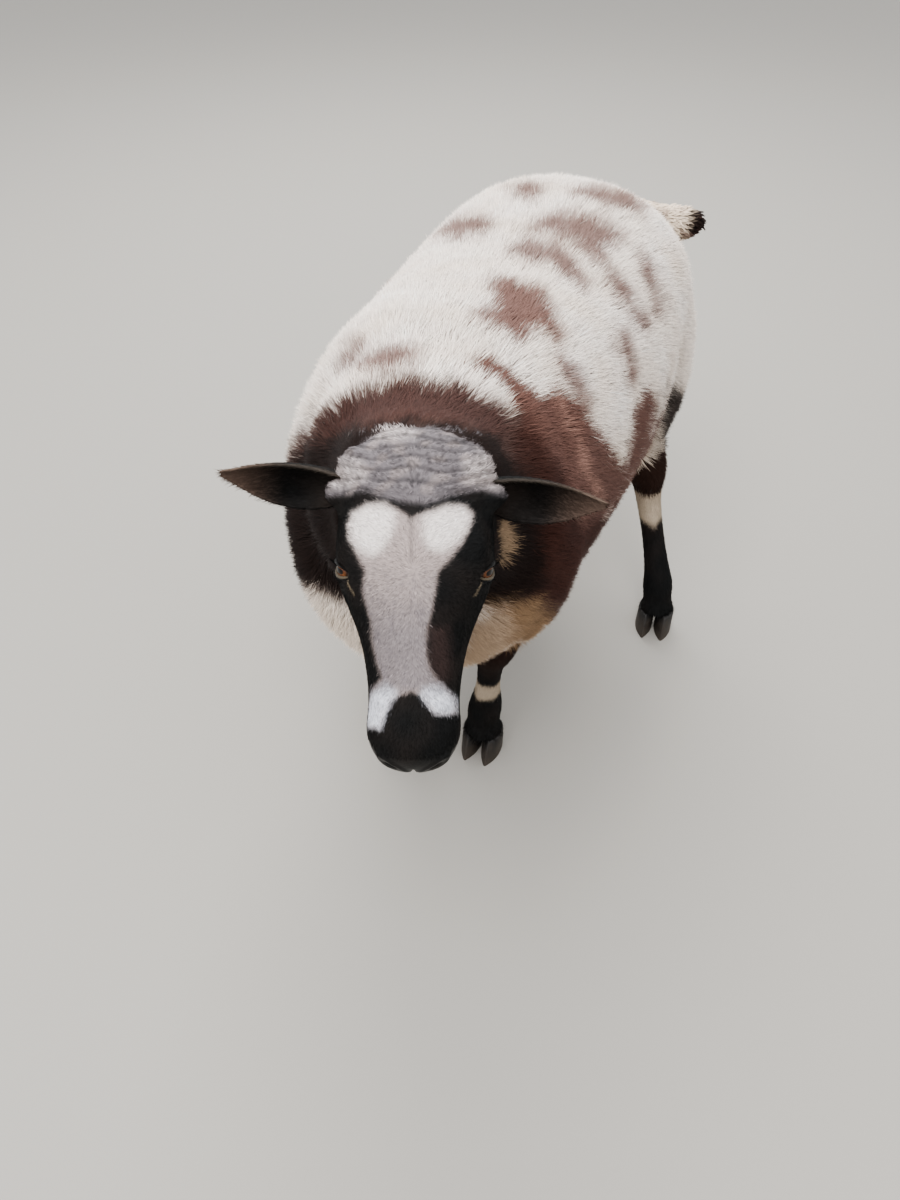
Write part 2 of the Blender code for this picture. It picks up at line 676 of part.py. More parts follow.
def ear(name, side):
    """A cupped leaf: a half-oval shell whose upper edge runs straight and whose lower edge bows."""
    point = EAR_POINT[name.split("_")[1]]
    axis = head_direction(point[0], side * point[1], point[2])
    open_way = head_direction(EAR_OPEN[0], side * EAR_OPEN[1], EAR_OPEN[2])
    open_way = (open_way - axis * open_way.dot(axis)).normalized()
    down = head_direction(*EAR_DOWN)
    down = (down - axis * down.dot(axis) - open_way * down.dot(open_way)).normalized()
    root = from_head(EAR_ROOT[0], side * EAR_ROOT[1], EAR_ROOT[2])
    count = len(EAR_HALF)
    arc = np.linspace(-math.pi / 2, math.pi / 2, 7)
    rings = []
    for i, (half, cup) in enumerate(zip(EAR_HALF, EAR_CUP)):
        share = i / (count - 1)
        hollow = max(cup - EAR_SKIN, cup * 0.2) if i > 0 else cup * 0.1
        inner_half = half - min(EAR_SKIN * 0.8, half * 0.3)
        centre = root + axis * (EAR_LENGTH * share) + down * ((half - EAR_HALF[0]) * EAR_BOW)
        centre -= open_way * (EAR_ARCH * math.sin(math.pi * share))
        ring = [centre + down * (half * math.sin(t)) - open_way * (cup * math.cos(t)) for t in arc]
        ring += [
            centre + down * (inner_half * math.sin(t)) - open_way * (hollow * math.cos(t))
            for t in arc[::-1]
        ]
        rings.append([tuple(p) for p in ring])
    return loft(name, np.array(rings))


def leg_rings(table, foot, mirror):
    """Rings from inside the body to the top of the hooves, led to where the foot stands."""
    rows = np.array(table, float)
    rows[:, 0] *= -1 if mirror else 1
    lean = np.linspace(0, 1, len(rows)) ** 1.5
    rows[:, 0] += (foot[0] - rows[-1, 0]) * lean
    rows[:, 1] += (foot[1] - rows[-1, 1]) * lean
    rings = limb_rings(rows, 17, 12)
    middle = rings[:, :, 2:].mean(axis=1, keepdims=True)
    middle += HOOF_TOP + GAP - middle[-1]
    tilt = np.clip((middle - HOOF_TOP) / LEVEL_BELOW, 0, 1)
    rings[:, :, 2:] = middle + (rings[:, :, 2:] - rings[:, :, 2:].mean(axis=1, keepdims=True)) * tilt
    return rings


def leg(name, rings, foot):
    """A leg with the two dewclaws behind its fetlock."""
    limb = loft(name, rings)
    turn = Matrix.Rotation(math.radians(foot[2]), 4, "Z")
    out, back, up = DEWCLAW_PLACE
    middles = rings.mean(axis=1)
    fetlock = Vector(middles[abs(middles[:, 2] - up).argmin()])
    claws = []
    for side in (1, -1):
        place = turn @ Vector((side * out, back, 0.0)) + fetlock
        claws.append(ball("dewclaw", place, DEWCLAW, 1, turn))
    return combine(limb, claws, "UNION")


def claw(name, foot, side):
    """One half of a cloven hoof: a D-shaped wall that slopes out to a flat sole."""
    angle = np.arange(14) * 2 * math.pi / 14
    across = HOOF_HALF * np.cos(angle)
    ahead = np.sin(angle)
    reach = np.where(ahead > 0, HOOF_TOE, HOOF_HEEL)
    pinch = 1 - HOOF_POINT * np.maximum(ahead, 0) ** 3
    turn = Matrix.Rotation(math.radians(foot[2]), 3, "Z")
    rings = []
    for z, share in HOOF_LEVELS:
        slender = 1 - HOOF_TAPER * (1 - share)
        x = side * HOOF_SPREAD + across * pinch * slender
        y = -reach * ahead * np.where(ahead > 0, share, slender)
        ring = np.stack((x, y, np.full(len(x), z)), axis=1) @ np.array(turn).T
        rings.append(ring + np.array((foot[0], foot[1], 0.0)))
    return loft(name, np.array(rings))


def centred(objects):
    """Moves everything so that the origin lies under the middle of the box round the ram."""
    corners = np.array([v.co for o in objects for v in o.data.vertices])
    low, high = corners.min(0), corners.max(0)
    shift = Matrix.Translation((-(low[0] + high[0]) / 2, -(low[1] + high[1]) / 2, -low[2]))
    for made in objects:
        made.data.transform(shift)


def main():
    for old in list(bpy.data.objects):
        bpy.data.objects.remove(old)

    skull = head()
    pieces = [skull]
    fitted = [skull]
    for label, side in (("left", 1), ("right", -1)):
        globe = eye("eye_" + label, side, EYE_RADIUS)
        paint(globe, AMBER, 0.1)
        auricle = ear("ear_" + label, side)
        combine(auricle, [swollen(skull)], "DIFFERENCE")
        keep_largest(auricle)
        paint(auricle, BLACK_HAIR, 0.8)
        pieces += [globe, auricle]
        fitted.append(auricle)

    limbs = [head_rings(12, 16)]
    for label, table in (("fore", FORELEG), ("hind", HINDLEG)):
        for side, mirror in (("left", False), ("right", True)):
            name = f"{label}_{side}"
            foot = FEET[name]
            rings = leg_rings(table, foot, mirror)
            limbs.append(rings)
            limb = leg(f"{label}leg_{side}", rings, foot)
            paint(limb, BLACK_HAIR, 0.8)
            pieces.append(limb)
            fitted.append(limb)
            for place, way in (("outer", 1), ("inner", -1)):
                claw_side = way * (-1 if mirror else 1)
                hoof = claw(f"hoof_{name}_{place}", foot, claw_side)
                paint(hoof, HORN, 0.5)
                pieces.append(hoof)

    tail = woolly_tail()
    limbs += [limb_rings(TAIL, 12, 14), limb_rings(SCROTUM, 9, 12)]
    pouch = loft("scrotum", limbs[-1])
    paint(tail, WHITE_FLEECE, 0.9)
    paint(pouch, WHITE_FLEECE, 0.8)
    pieces += [tail, pouch]
    fitted += [tail, pouch]

    torso = fleeced_body(limbs)
    neck = part_neck(torso)
    for fleeced in (torso, neck):
        combine(fleeced, [swollen(piece) for piece in fitted], "DIFFERENCE", "MANIFOLD")
        keep_largest(fleeced)
    pieces += [torso, neck]

    paint(torso, WHITE_FLEECE, 0.9)
    paint(neck, BROWN_FLEECE, 0.9)
    paint(skull, BLACK_HAIR, 0.7)
    centred(pieces)


main()
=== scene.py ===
"""A Dutch Spotted ram in life size, looking up at the viewer with its head lowered.

One skin carries the whole animal, and its coat of wool and hair is solid mesh over it. Eyes, lids
and hooves are pieces of their own. The ram faces -Y, its left is +X, and lengths are in metres.
"""

import math

import bmesh
import bpy
import numpy as np
from mathutils import Matrix, Vector


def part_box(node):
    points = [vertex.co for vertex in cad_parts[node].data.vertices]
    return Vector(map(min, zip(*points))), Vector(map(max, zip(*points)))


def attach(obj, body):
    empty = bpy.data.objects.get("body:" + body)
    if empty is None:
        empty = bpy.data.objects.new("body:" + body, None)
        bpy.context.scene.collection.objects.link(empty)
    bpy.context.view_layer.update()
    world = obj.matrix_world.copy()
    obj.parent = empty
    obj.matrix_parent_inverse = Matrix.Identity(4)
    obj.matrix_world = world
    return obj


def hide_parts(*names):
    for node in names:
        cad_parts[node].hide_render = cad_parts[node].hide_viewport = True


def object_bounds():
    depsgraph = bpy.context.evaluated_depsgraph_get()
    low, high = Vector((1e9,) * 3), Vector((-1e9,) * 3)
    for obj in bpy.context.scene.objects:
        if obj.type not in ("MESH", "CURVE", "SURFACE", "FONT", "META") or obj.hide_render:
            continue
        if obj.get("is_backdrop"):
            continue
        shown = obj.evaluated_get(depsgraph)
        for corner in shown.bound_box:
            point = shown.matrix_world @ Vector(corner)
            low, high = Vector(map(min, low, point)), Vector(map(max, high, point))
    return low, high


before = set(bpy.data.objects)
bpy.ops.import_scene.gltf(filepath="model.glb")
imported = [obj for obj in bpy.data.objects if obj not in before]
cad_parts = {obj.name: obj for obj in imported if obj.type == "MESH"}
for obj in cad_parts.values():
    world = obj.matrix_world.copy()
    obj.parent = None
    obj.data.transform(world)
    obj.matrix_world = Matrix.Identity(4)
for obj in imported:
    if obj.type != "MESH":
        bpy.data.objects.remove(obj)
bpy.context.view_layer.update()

# ---- The head's place. It is lowered and turned to the ram's left, and the eyes, ears and nose are
# measured from the poll, down the face. The drawing's places were moved as one when the solids were
# centred on the floor, and an eyeball shows by how much.
POLL = np.array((0.072, -0.449, 0.691))
HEAD_YAW, HEAD_PITCH, HEAD_ROLL = math.radians(23), math.radians(48), math.radians(-2)
EYE_RADIUS = 0.0138
EYE = (0.088, 0.0600, -0.030)  # along the head's axis, out to the side, below the face line

axis = Vector(
    (
        math.sin(HEAD_YAW) * math.cos(HEAD_PITCH),
        -math.cos(HEAD_YAW) * math.cos(HEAD_PITCH),
        -math.sin(HEAD_PITCH),
    )
)
sideways = Vector((math.cos(HEAD_YAW), math.sin(HEAD_YAW), 0.0))
sideways.rotate(Matrix.Rotation(HEAD_ROLL, 3, axis))
HEAD_TURN = np.array((sideways, axis.cross(sideways), axis))  # rows: side, up from the face, along


def from_head(along, side, up):
    """Place in the drawing of a place given in the head's frame."""
    return POLL + np.stack(np.broadcast_arrays(side, up, along), axis=-1) @ HEAD_TURN


def head_way(along, side, up):
    """Direction of length 1, given in the head's frame."""
    way = np.array((side, up, along), float) @ HEAD_TURN
    return way / np.linalg.norm(way)


def eye_middle(way):
    """Middle of the left (1) or right (-1) eyeball in the drawing."""
    return from_head(EYE[0], way * EYE[1], EYE[2])


eye_low, eye_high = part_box("eye_left")
SHIFT = (np.array(eye_low) + np.array(eye_high)) / 2 - eye_middle(1)

# ---- Camera, floor and light. A phone held at 1.2 m looks down on the ram from its front left, and
# the soft light of an overcast sky comes from all over, a little stronger from the front.
PHOTO_WIDE, PHOTO_HIGH = 900, 1200
VIEW_FROM = np.array((0.375, -1.052, 1.18))
VIEW_TURN, VIEW_DOWN = math.radians(24), math.radians(44)
VIEW_FOCAL = 902.0  # in pixels of the photograph
SENSOR = 36.0  # mm
FLOOR_REACH = 9.0


def linked(name, data):
    """A new object of the scene, at the origin."""
    made = bpy.data.objects.new(name, data)
    bpy.context.scene.collection.objects.link(made)
    return made


camera = linked("camera", bpy.data.cameras.new("camera"))
camera.data.sensor_fit = "VERTICAL"
camera.data.sensor_height = SENSOR
camera.data.lens = VIEW_FOCAL / PHOTO_HIGH * SENSOR
camera.data.clip_start = 0.05
camera.location = Vector(VIEW_FROM + SHIFT)
camera.rotation_euler = (math.pi / 2 - VIEW_DOWN, 0.0, VIEW_TURN)
bpy.context.scene.camera = camera

floor = linked("floor", bpy.data.meshes.new("floor"))
floor_corners = [(x * FLOOR_REACH, y * FLOOR_REACH, 0) for x, y in ((-1, -1), (1, -1), (1, 1), (-1, 1))]
floor.data.from_pydata(floor_corners, [], [(0, 1, 2, 3)])
floor_paint = bpy.data.materials.new("pale_floor")
floor_paint.use_nodes = True
floor_sockets = floor_paint.node_tree.nodes["Principled BSDF"].inputs
floor_sockets["Base Color"].default_value = (0.30, 0.285, 0.26, 1)
floor_sockets["Roughness"].default_value = 0.9
floor.data.materials.append(floor_paint)
floor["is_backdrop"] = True

sky = bpy.data.worlds.new("overcast")
sky.use_nodes = True
sky.node_tree.nodes["Background"].inputs["Color"].default_value = (0.97, 0.98, 1.0, 1)
sky.node_tree.nodes["Background"].inputs["Strength"].default_value = 1.35
bpy.context.scene.world = sky
bpy.context.scene.view_settings.look = "AgX - Medium High Contrast"
LIT = Vector((0, 0, 0.4))  # where both lamps point
for name, place, size, power in (
    ("light_front", (0.2, -1.8, 3.4), 2.2, 150),
    ("light_back", (-1.2, 2.2, 3.2), 2.0, 130),
):
    lamp = linked(name, bpy.data.lights.new(name, "AREA"))
    lamp.data.size = size
    lamp.data.energy = power
    lamp.location = place
    lamp.rotation_euler = (LIT - Vector(place)).to_track_quat("-Z", "Y").to_euler()

# ---- The body's forms. Trunk, neck, head, legs, tail and scrotum are drawn as rings through a few
# sections each, as in the solids, and the skin under the wool lies deeper by the wool's depth.
WOOL = 0.015  # from the skin to the tips
TRUNK = (  # y, x, z of the widest line, half width, height above it, depth below it, squareness
    (-0.412, -0.002, 0.452, 0.060, 0.058, 0.070, 2.0),
    (-0.378, -0.004, 0.462, 0.126, 0.124, 0.138, 2.1),
    (-0.308, -0.006, 0.480, 0.174, 0.200, 0.200, 2.2),
    (-0.224, -0.008, 0.490, 0.192, 0.230, 0.218, 2.3),
    (-0.119, -0.009, 0.492, 0.202, 0.230, 0.222, 2.3),
    (-0.014, -0.011, 0.495, 0.212, 0.223, 0.216, 2.3),
    (0.081, -0.012, 0.505, 0.217, 0.215, 0.190, 2.3),
    (0.167, -0.011, 0.525, 0.210, 0.203, 0.158, 2.3),
    (0.243, -0.008, 0.540, 0.200, 0.184, 0.140, 2.25),
    (0.312, -0.005, 0.546, 0.167, 0.144, 0.130, 2.15),
    (0.356, -0.001, 0.542, 0.098, 0.084, 0.100, 2.0),
)
NECK = (  # centre, half width, height, depth
    (0.000, -0.180, 0.545, 0.150, 0.160, 0.165),
    (0.008, -0.260, 0.562, 0.148, 0.152, 0.180),
    (0.024, -0.325, 0.583, 0.140, 0.132, 0.168),
    (0.038, -0.368, 0.602, 0.112, 0.110, 0.142),
    (0.046, -0.398, 0.613, 0.086, 0.092, 0.116),
    (0.050, -0.418, 0.618, 0.060, 0.066, 0.086),
)
HEAD = (  # along, depth of the widest line, half width, above, below, squareness, jaw's narrowing
    (-0.046, -0.062, 0.026, 0.022, 0.030, 2.0, 0.10),
    (-0.034, -0.060, 0.049, 0.044, 0.054, 2.2, 0.20),
    (-0.008, -0.058, 0.065, 0.060, 0.074, 2.3, 0.30),
    (0.030, -0.058, 0.073, 0.070, 0.086, 2.6, 0.36),
    (0.070, -0.060, 0.0765, 0.076, 0.094, 2.8, 0.40),
    (0.100, -0.062, 0.0745, 0.075, 0.092, 2.7, 0.42),
    (0.130, -0.063, 0.064, 0.069, 0.084, 2.5, 0.42),
    (0.160, -0.063, 0.054, 0.062, 0.072, 2.4, 0.36),
    (0.190, -0.062, 0.047, 0.054, 0.058, 2.4, 0.28),
    (0.220, -0.060, 0.0445, 0.047, 0.048, 2.5, 0.20),
    (0.245, -0.060, 0.0465, 0.043, 0.044, 2.6, 0.12),
    (0.266, -0.061, 0.042, 0.037, 0.038, 2.5, 0.08),
    (0.280, -0.062, 0.031, 0.026, 0.028, 2.3, 0.05),
    (0.288, -0.063, 0.014, 0.012, 0.013, 2.0, 0.00),
)
SHOULDER = ((0.098, -0.235, 0.460), (0.088, 0.115, 0.165))  # centre and radii of the left one
THIGH = ((0.118, 0.212, 0.474), (0.094, 0.122, 0.184))
FORELEG = (  # x, y, z, half width across, half width fore and aft
    (0.096, -0.212, 0.395, 0.042, 0.056),
    (0.091, -0.216, 0.345, 0.037, 0.046),
    (0.085, -0.222, 0.290, 0.030, 0.035),
    (0.076, -0.230, 0.242, 0.028, 0.031),
    (0.068, -0.229, 0.205, 0.0195, 0.023),
    (0.061, -0.225, 0.150, 0.0175, 0.020),
    (0.055, -0.221, 0.108, 0.022, 0.025),
    (0.052, -0.225, 0.082, 0.0260, 0.029),
    (0.051, -0.235, 0.058, 0.0250, 0.026),
    (0.051, -0.243, 0.041, 0.0318, 0.0325),
)
HINDLEG = (
    (0.100, 0.204, 0.440, 0.036, 0.054),
    (0.120, 0.196, 0.398, 0.038, 0.055),
    (0.143, 0.200, 0.350, 0.036, 0.049),
    (0.160, 0.220, 0.308, 0.030, 0.043),
    (0.172, 0.232, 0.272, 0.027, 0.037),
    (0.182, 0.224, 0.228, 0.0205, 0.026),
    (0.206, 0.202, 0.165, 0.0185, 0.021),
    (0.226, 0.183, 0.112, 0.022, 0.025),
    (0.234, 0.176, 0.085, 0.0260, 0.029),
    (0.240, 0.166, 0.058, 0.0250, 0.026),
    (0.243, 0.158, 0.041, 0.0318, 0.0325),
)
FEET = {  # where each foot stands, and the turn of its toes in degrees
    "fore_left": (0.062, -0.220, 4),
    "fore_right": (-0.058, -0.270, -4),
    "hind_left": (0.243, 0.158, 10),
    "hind_right": (-0.165, 0.215, -8),
}
HOOF_TOP = 0.0407
TAIL = (  # x, y, z, half width
    (0.002, 0.290, 0.618, 0.036),
    (0.010, 0.345, 0.624, 0.036),
    (0.044, 0.388, 0.620, 0.033),
    (0.090, 0.410, 0.613, 0.030),
    (0.128, 0.419, 0.617, 0.026),
    (0.150, 0.424, 0.624, 0.015),
)
SCROTUM = (
    (0.000, 0.178, 0.430, 0.034, 0.046),
    (0.002, 0.190, 0.380, 0.036, 0.038),
    (0.004, 0.200, 0.330, 0.048, 0.041),
    (0.004, 0.204, 0.288, 0.050, 0.043),
    (0.004, 0.204, 0.258, 0.036, 0.032),
    (0.004, 0.204, 0.247, 0.015, 0.013),
)
TAIL_WOOL, POUCH_HAIR = 0.006, 0.001  # from the skin to the tips there
DEWCLAW = (0.0125, 0.0225, 0.078)  # to the side, behind and above the foot's middle
DEWCLAW_RADII = (0.0075, 0.0095, 0.0125)
HEAD_BALLS = (  # along, side, up, then the radii along, side, up
    (0.256, 0.0, -0.098, 0.0300, 0.0260, 0.0150),  # chin
    (0.262, 0.0150, -0.080, 0.0225, 0.0190, 0.0165),  # lips
    (0.066, 0.0520, -0.010, 0.0250, 0.0180, 0.0150),  # brows
    (0.095, 0.0480, -0.105, 0.0420, 0.0220, 0.0340),  # cheeks
    (-0.010, 0.0520, -0.030, 0.0200, 0.0230, 0.0200),  # ends of the cap
    (0.017, 0.0640, -0.038, 0.0150, 0.0280, 0.0150),  # bases of the ears
)
EYE_FLESH = 0.0040  # over the eyeball


def through(table, count):
    """Rows evenly spread along a cubic curve through the rows of a table."""
    rows = np.asarray(table, float)
    slope = np.gradient(rows, axis=0)
    spot = np.linspace(0, len(rows) - 1, count)
    first = np.minimum(spot.astype(int), len(rows) - 2)
    t = (spot - first)[:, None]
    return (
        (2 * t**3 - 3 * t**2 + 1) * rows[first]
        + (t**3 - 2 * t**2 + t) * slope[first]
        + (3 * t**2 - 2 * t**3) * rows[first + 1]
        + (t**3 - t**2) * slope[first + 1]
    )


def oval(around, power):
    """Across and up parts of a unit superellipse: each is the cosine or sine to the power 2/n."""
    angle = np.arange(around) * 2 * math.pi / around
    root = 2 / np.asarray(power, float).reshape(-1, 1)
    across, up = np.cos(angle), np.sin(angle)
    return np.sign(across) * abs(across) ** root, np.sign(up) * abs(up) ** root


def trunk_rings():
    """Rings across the trunk, drawn in by the wool's depth."""
    rows = through(TRUNK, 60)
    y, x, z, half, above, below = (rows[:, i : i + 1] for i in range(6))
    across, up = oval(56, rows[:, 6])
    height = np.where(up > 0, above, below) - WOOL
    ends = np.clip(y, TRUNK[0][0] + WOOL, TRUNK[-1][0] - WOOL)
    return np.stack((x + (half - WOOL) * across, ends + 0 * up, z + height * up), axis=2)


def path_frame(centres, side_hint):
    """For each point of a path: a direction across it, and one square to that and to the path."""
    along = np.gradient(centres, axis=0)
    along /= np.linalg.norm(along, axis=1, keepdims=True)
    across = side_hint - along * (along @ side_hint)[:, None]
    across /= np.linalg.norm(across, axis=1, keepdims=True)
    return across, np.cross(across, along)


def neck_rings():
    """Rings across the neck; the wool's depth fades out towards the poll."""
    rows = through(NECK, 30)
    centres = rows[:, :3]
    side, up = path_frame(centres, np.array((1.0, 0.0, 0.0)))
    up = np.where(up[:, 2:] < 0, -up, up)
    across, height = oval(48, 2.2)
    inset = WOOL * np.clip(np.linspace(3.2, -0.6, len(rows)), 0, 1)[:, None]
    reach = (np.where(height > 0, rows[:, 4:5], rows[:, 5:6]) - inset) * height
    spread_out = (rows[:, 3:4] - inset) * across
    return centres[:, None] + spread_out[..., None] * side[:, None] + reach[..., None] * up[:, None]


def limb_rings(table, count, inset=0.0):
    """Rings square to the path of a leg, tail or other limb."""
    rows = through(table, count)
    side, fore = path_frame(rows[:, :3], np.array((1.0, 0.0, 0.0)))
    across, deep = oval(32, 2.1)
    return (
        rows[:, None, :3]
        + ((rows[:, 3:4] - inset) * across)[..., None] * side[:, None]
        + ((rows[:, -1:] - inset) * deep)[..., None] * fore[:, None]
    )


def leg_rings(table, foot, mirror):
    """A leg's rings, led to where its foot stands and turned level above the hooves."""
    rows = np.array(table, float)
    rows[:, 0] *= -1 if mirror else 1
    lean = np.linspace(0, 1, len(rows)) ** 1.5
    rows[:, 0] += (foot[0] - rows[-1, 0]) * lean
    rows[:, 1] += (foot[1] - rows[-1, 1]) * lean
    rings = limb_rings(rows, 44)
    middle = rings[:, :, 2:].mean(axis=1, keepdims=True)
    level = middle + HOOF_TOP - 0.001 - middle[-1]
    tilt = np.clip((level - HOOF_TOP) / 0.12, 0, 1)
    rings[:, :, 2:] = level + (rings[:, :, 2:] - middle) * tilt
    return rings


def head_rings():
    """Rings across the head, whose lower half narrows to the jaw."""
    rows = through(HEAD, 90)
    along, middle, half, above, below = (rows[:, i : i + 1] for i in range(5))
    across, up = oval(72, rows[:, 5])
    narrow = 1 + rows[:, 6:7] * np.minimum(up, 0) ** 3
    return from_head(along, half * across * narrow, middle + np.where(up > 0, above, below) * up)


def on_ball(radius, swing, x, y, flat=1.0):
    """Place on a ball, a swing away from its axis, towards x and y, whose length together is flat."""
    reach = radius * np.sin(swing)
    return np.stack((reach * x / flat, reach * y / flat, radius * np.cos(swing) + 0 * x), axis=-1)


def ball_rings(centre, radii, turn=np.eye(3)):
    """Rings of an ellipsoid, whose radii lie along the rows of a turn."""
    swing = np.linspace(0.08, math.pi - 0.08, 20)[:, None]
    round_it = np.arange(28) * 2 * math.pi / 28
    ball = on_ball(1.0, swing, np.cos(round_it), np.sin(round_it))
    return np.asarray(centre) + (ball * np.asarray(radii)) @ turn


def toed(x, y, degrees):
    """Across and back from a foot's middle, turned with its toes."""
    turn = math.radians(degrees)
    return x * math.cos(turn) - y * math.sin(turn), x * math.sin(turn) + y * math.cos(turn)


forms = [trunk_rings(), neck_rings(), head_rings()]
for centre, radii in (SHOULDER, THIGH):
    for way in (1, -1):
        forms.append(ball_rings(np.array(centre) * (way, 1, 1), np.array(radii) - WOOL))
legs = {}
for name, foot in FEET.items():
    legs[name] = leg_rings(FORELEG if "fore" in name else HINDLEG, foot, "right" in name)
    forms.append(legs[name])
    level = legs[name][:, :, 2].mean(axis=1)
    middle = legs[name][abs(level - DEWCLAW[2]).argmin()].mean(axis=0)
    for way in (1, -1):
        place = middle + (*toed(way * DEWCLAW[0], DEWCLAW[1], foot[2]), 0)
        forms.append(ball_rings(place, DEWCLAW_RADII))
tail_rings = limb_rings(TAIL, 34, TAIL_WOOL)
pouch_rings = limb_rings(SCROTUM, 34, POUCH_HAIR)
forms += [tail_rings, pouch_rings]
for along, side, up, long, wide, high in HEAD_BALLS:
    for way in (1, -1) if side else (1,):
        forms.append(ball_rings(from_head(along, way * side, up), (wide, high, long), HEAD_TURN))
for way in (1, -1):
    forms.append(ball_rings(eye_middle(way), (EYE_RADIUS + EYE_FLESH,) * 3))

# ---- The skin, one closed surface for all of the flesh. The forms are fused and remeshed, the head
# is divided finer, and it is then worked: nostrils, the line of the mouth, folds across the cap.
VOXEL = 0.0060  # the skin's first mesh


def closed(rings):
    """Points and faces of a skin over a stack of rings, with a point at the middle of each end."""
    count, around, _ = rings.shape
    points = np.vstack((rings.reshape(-1, 3), rings[0].mean(0), rings[-1].mean(0)))
    i = np.arange(around)
    j = (i + 1) % around
    low = (np.arange(count - 1) * around)[:, None]
    walls = np.stack((low + i, low + j, low + around + j, low + around + i), axis=2).reshape(-1, 4)
    last = (count - 1) * around
    caps = np.vstack(
        (
            np.stack((j, i, i * 0 + count * around), axis=1),
            np.stack((last + i, last + j, i * 0 + count * around + 1), axis=1),
        )
    )
    return points, walls.tolist() + caps.tolist()


def mesh_of(name, points, faces):
    """A mesh of points and lists of corners."""
    made = bpy.data.meshes.new(name)
    made.from_pydata(np.asarray(points).tolist(), [], faces)
    return made


points, faces = [], []
for rings in forms:
    more, walls = closed(rings)
    base = sum(len(p) for p in points)
    points.append(more)
    faces += [[v + base for v in face] for face in walls]
draft = linked("draft", mesh_of("draft", np.vstack(points) + SHIFT, faces))
remesh = draft.modifiers.new("fuse", "REMESH")
remesh.mode = "VOXEL"
remesh.voxel_size = VOXEL
fused = bpy.data.meshes.new_from_object(draft.evaluated_get(bpy.context.evaluated_depsgraph_get()))
bpy.data.objects.remove(draft)


def read(mesh, what="co"):
    """The places, or the normals, of a mesh's points as rows."""
    out = np.empty(len(mesh.vertices) * 3, np.float32)
    mesh.vertices.foreach_get(what, out)
    return out.reshape(-1, 3).astype(float)


def in_head(points):
    """Along, side and up in the head's frame."""
    side, up, along = ((points - SHIFT - POLL) @ HEAD_TURN.T).T
    return along, side, up


def headness(points):
    """Below 1 inside the head's rings, above it outside; the measure is the superellipse's own.

    Past the rings' ends it is 1 and 60 more for each metre, however far to the side a place lies.
    """
    along, side, up = in_head(points)
    rows = np.array(HEAD)
    middle, half, above, below = (np.interp(along, rows[:, 0], rows[:, i]) for i in range(1, 5))
    high = np.where(up > middle, above, below)
    measure = (abs(side) / half) ** 2.4 + (abs(up - middle) / high) ** 2.4
    outside = np.maximum(along - rows[-1, 0], rows[0, 0] - along)
    return np.where(outside > 0, 1.0 + outside * 60, measure ** (1 / 2.4))


def finer(mesh, chosen):
    """Divides every face whose corners are all chosen into four."""
    body = bmesh.new()
    body.from_mesh(mesh)
    body.verts.ensure_lookup_table()
    edges = [e for e in body.edges if chosen[e.verts[0].index] and chosen[e.verts[1].index]]
    bmesh.ops.subdivide_edges(body, edges=edges, cuts=1, use_grid_fill=True)
    body.to_mesh(mesh)
    body.free()


def smoothed(points, mesh, rounds, share=0.5):
    """Each point moves towards the mean of its neighbours, a share of the way, a few times."""
    edges = np.empty(len(mesh.edges) * 2, np.int32)
    mesh.edges.foreach_get("vertices", edges)
    a, b = edges.reshape(-1, 2).T
    degree = np.bincount(a, minlength=len(points)) + np.bincount(b, minlength=len(points))
    share = np.broadcast_to(np.asarray(share, float), (len(points),))[:, None]
    for _ in range(rounds):
        total = np.stack(
            [
                np.bincount(a, points[b, k], len(points)) + np.bincount(b, points[a, k], len(points))
                for k in range(3)
            ],
            axis=1,
        )
        points = points + share * (total / degree[:, None] - points)
    return points


places = smoothed(read(fused), fused, 3)
fused.vertices.foreach_set("co", places.ravel())
finer(fused, headness(places) < 1.22)
places = smoothed(read(fused), fused, 3, np.where(headness(read(fused)) < 1.3, 0.5, 0.2))
fused.vertices.foreach_set("co", places.ravel())
near_eye = np.full(len(places), False)
for way in (1, -1):
    near_eye |= np.linalg.norm(places - (eye_middle(way) + SHIFT), axis=1) < 0.026
at_nose = (in_head(places)[0] > 0.222) & (headness(places) < 1.3)
finer(fused, at_nose | near_eye)
places = smoothed(read(fused), fused, 2, np.where(headness(read(fused)) < 1.3, 0.4, 0.0))
fused.vertices.foreach_set("co", places.ravel())
fused.update()


def ripple(points, size, seed):
    """Smooth noise of about -1 to 1: a sum of sines in random directions, near one wavelength."""
    draw = np.random.default_rng(seed)
    way = draw.normal(size=(14, 3))
    way *= (draw.uniform(0.7, 1.5, 14) / size * 2 * math.pi / np.linalg.norm(way, axis=1))[:, None]
    return np.sin(points @ way.T + draw.uniform(0, 6.3, 14)).mean(axis=1) * 2.2


def rise(value, low, high):
    """0 below low, 1 above high, and an even S between them."""
    t = np.clip((value - low) / (high - low), 0, 1)
    return t * t * (3 - 2 * t)


def bell(value, middle, width):
    """1 at the middle and falling away on both sides, as e to the power of minus the square."""
    return np.exp(-(((value - middle) / width) ** 2))


NOSTRIL = (0.2765, 0.0195, -0.047)  # along, side, up
NOSTRIL_WAY = (-0.45, 0.75, 0.50)  # its slit runs this far along, to the side and up
NOSTRIL_LONG, NOSTRIL_WIDE = 0.0125, 0.0062  # halves
NOSTRIL_DEEP, NOSTRIL_RIM = 0.0120, 0.0016
MOUTH = (-0.0885, 0.0060, 0.0465, 0.206)  # height, rise at the corners, half width, corners' place
MOUTH_DEEP, UPPER_LIP, LOWER_LIP = 0.0042, 0.0014, 0.0012
PHILTRUM_DEEP = 0.0022  # the cleft from the upper lip to between the nostrils
FOLDS = 0.0105  # from fold to fold of the cap's skin
FOLD_HIGH, CAP_EDGE = 0.0015, 0.0030  # the folds' height, and the groove in front of them
NOSE_RIDGES, CHEEK_HOLLOW = 0.0016, 0.0016


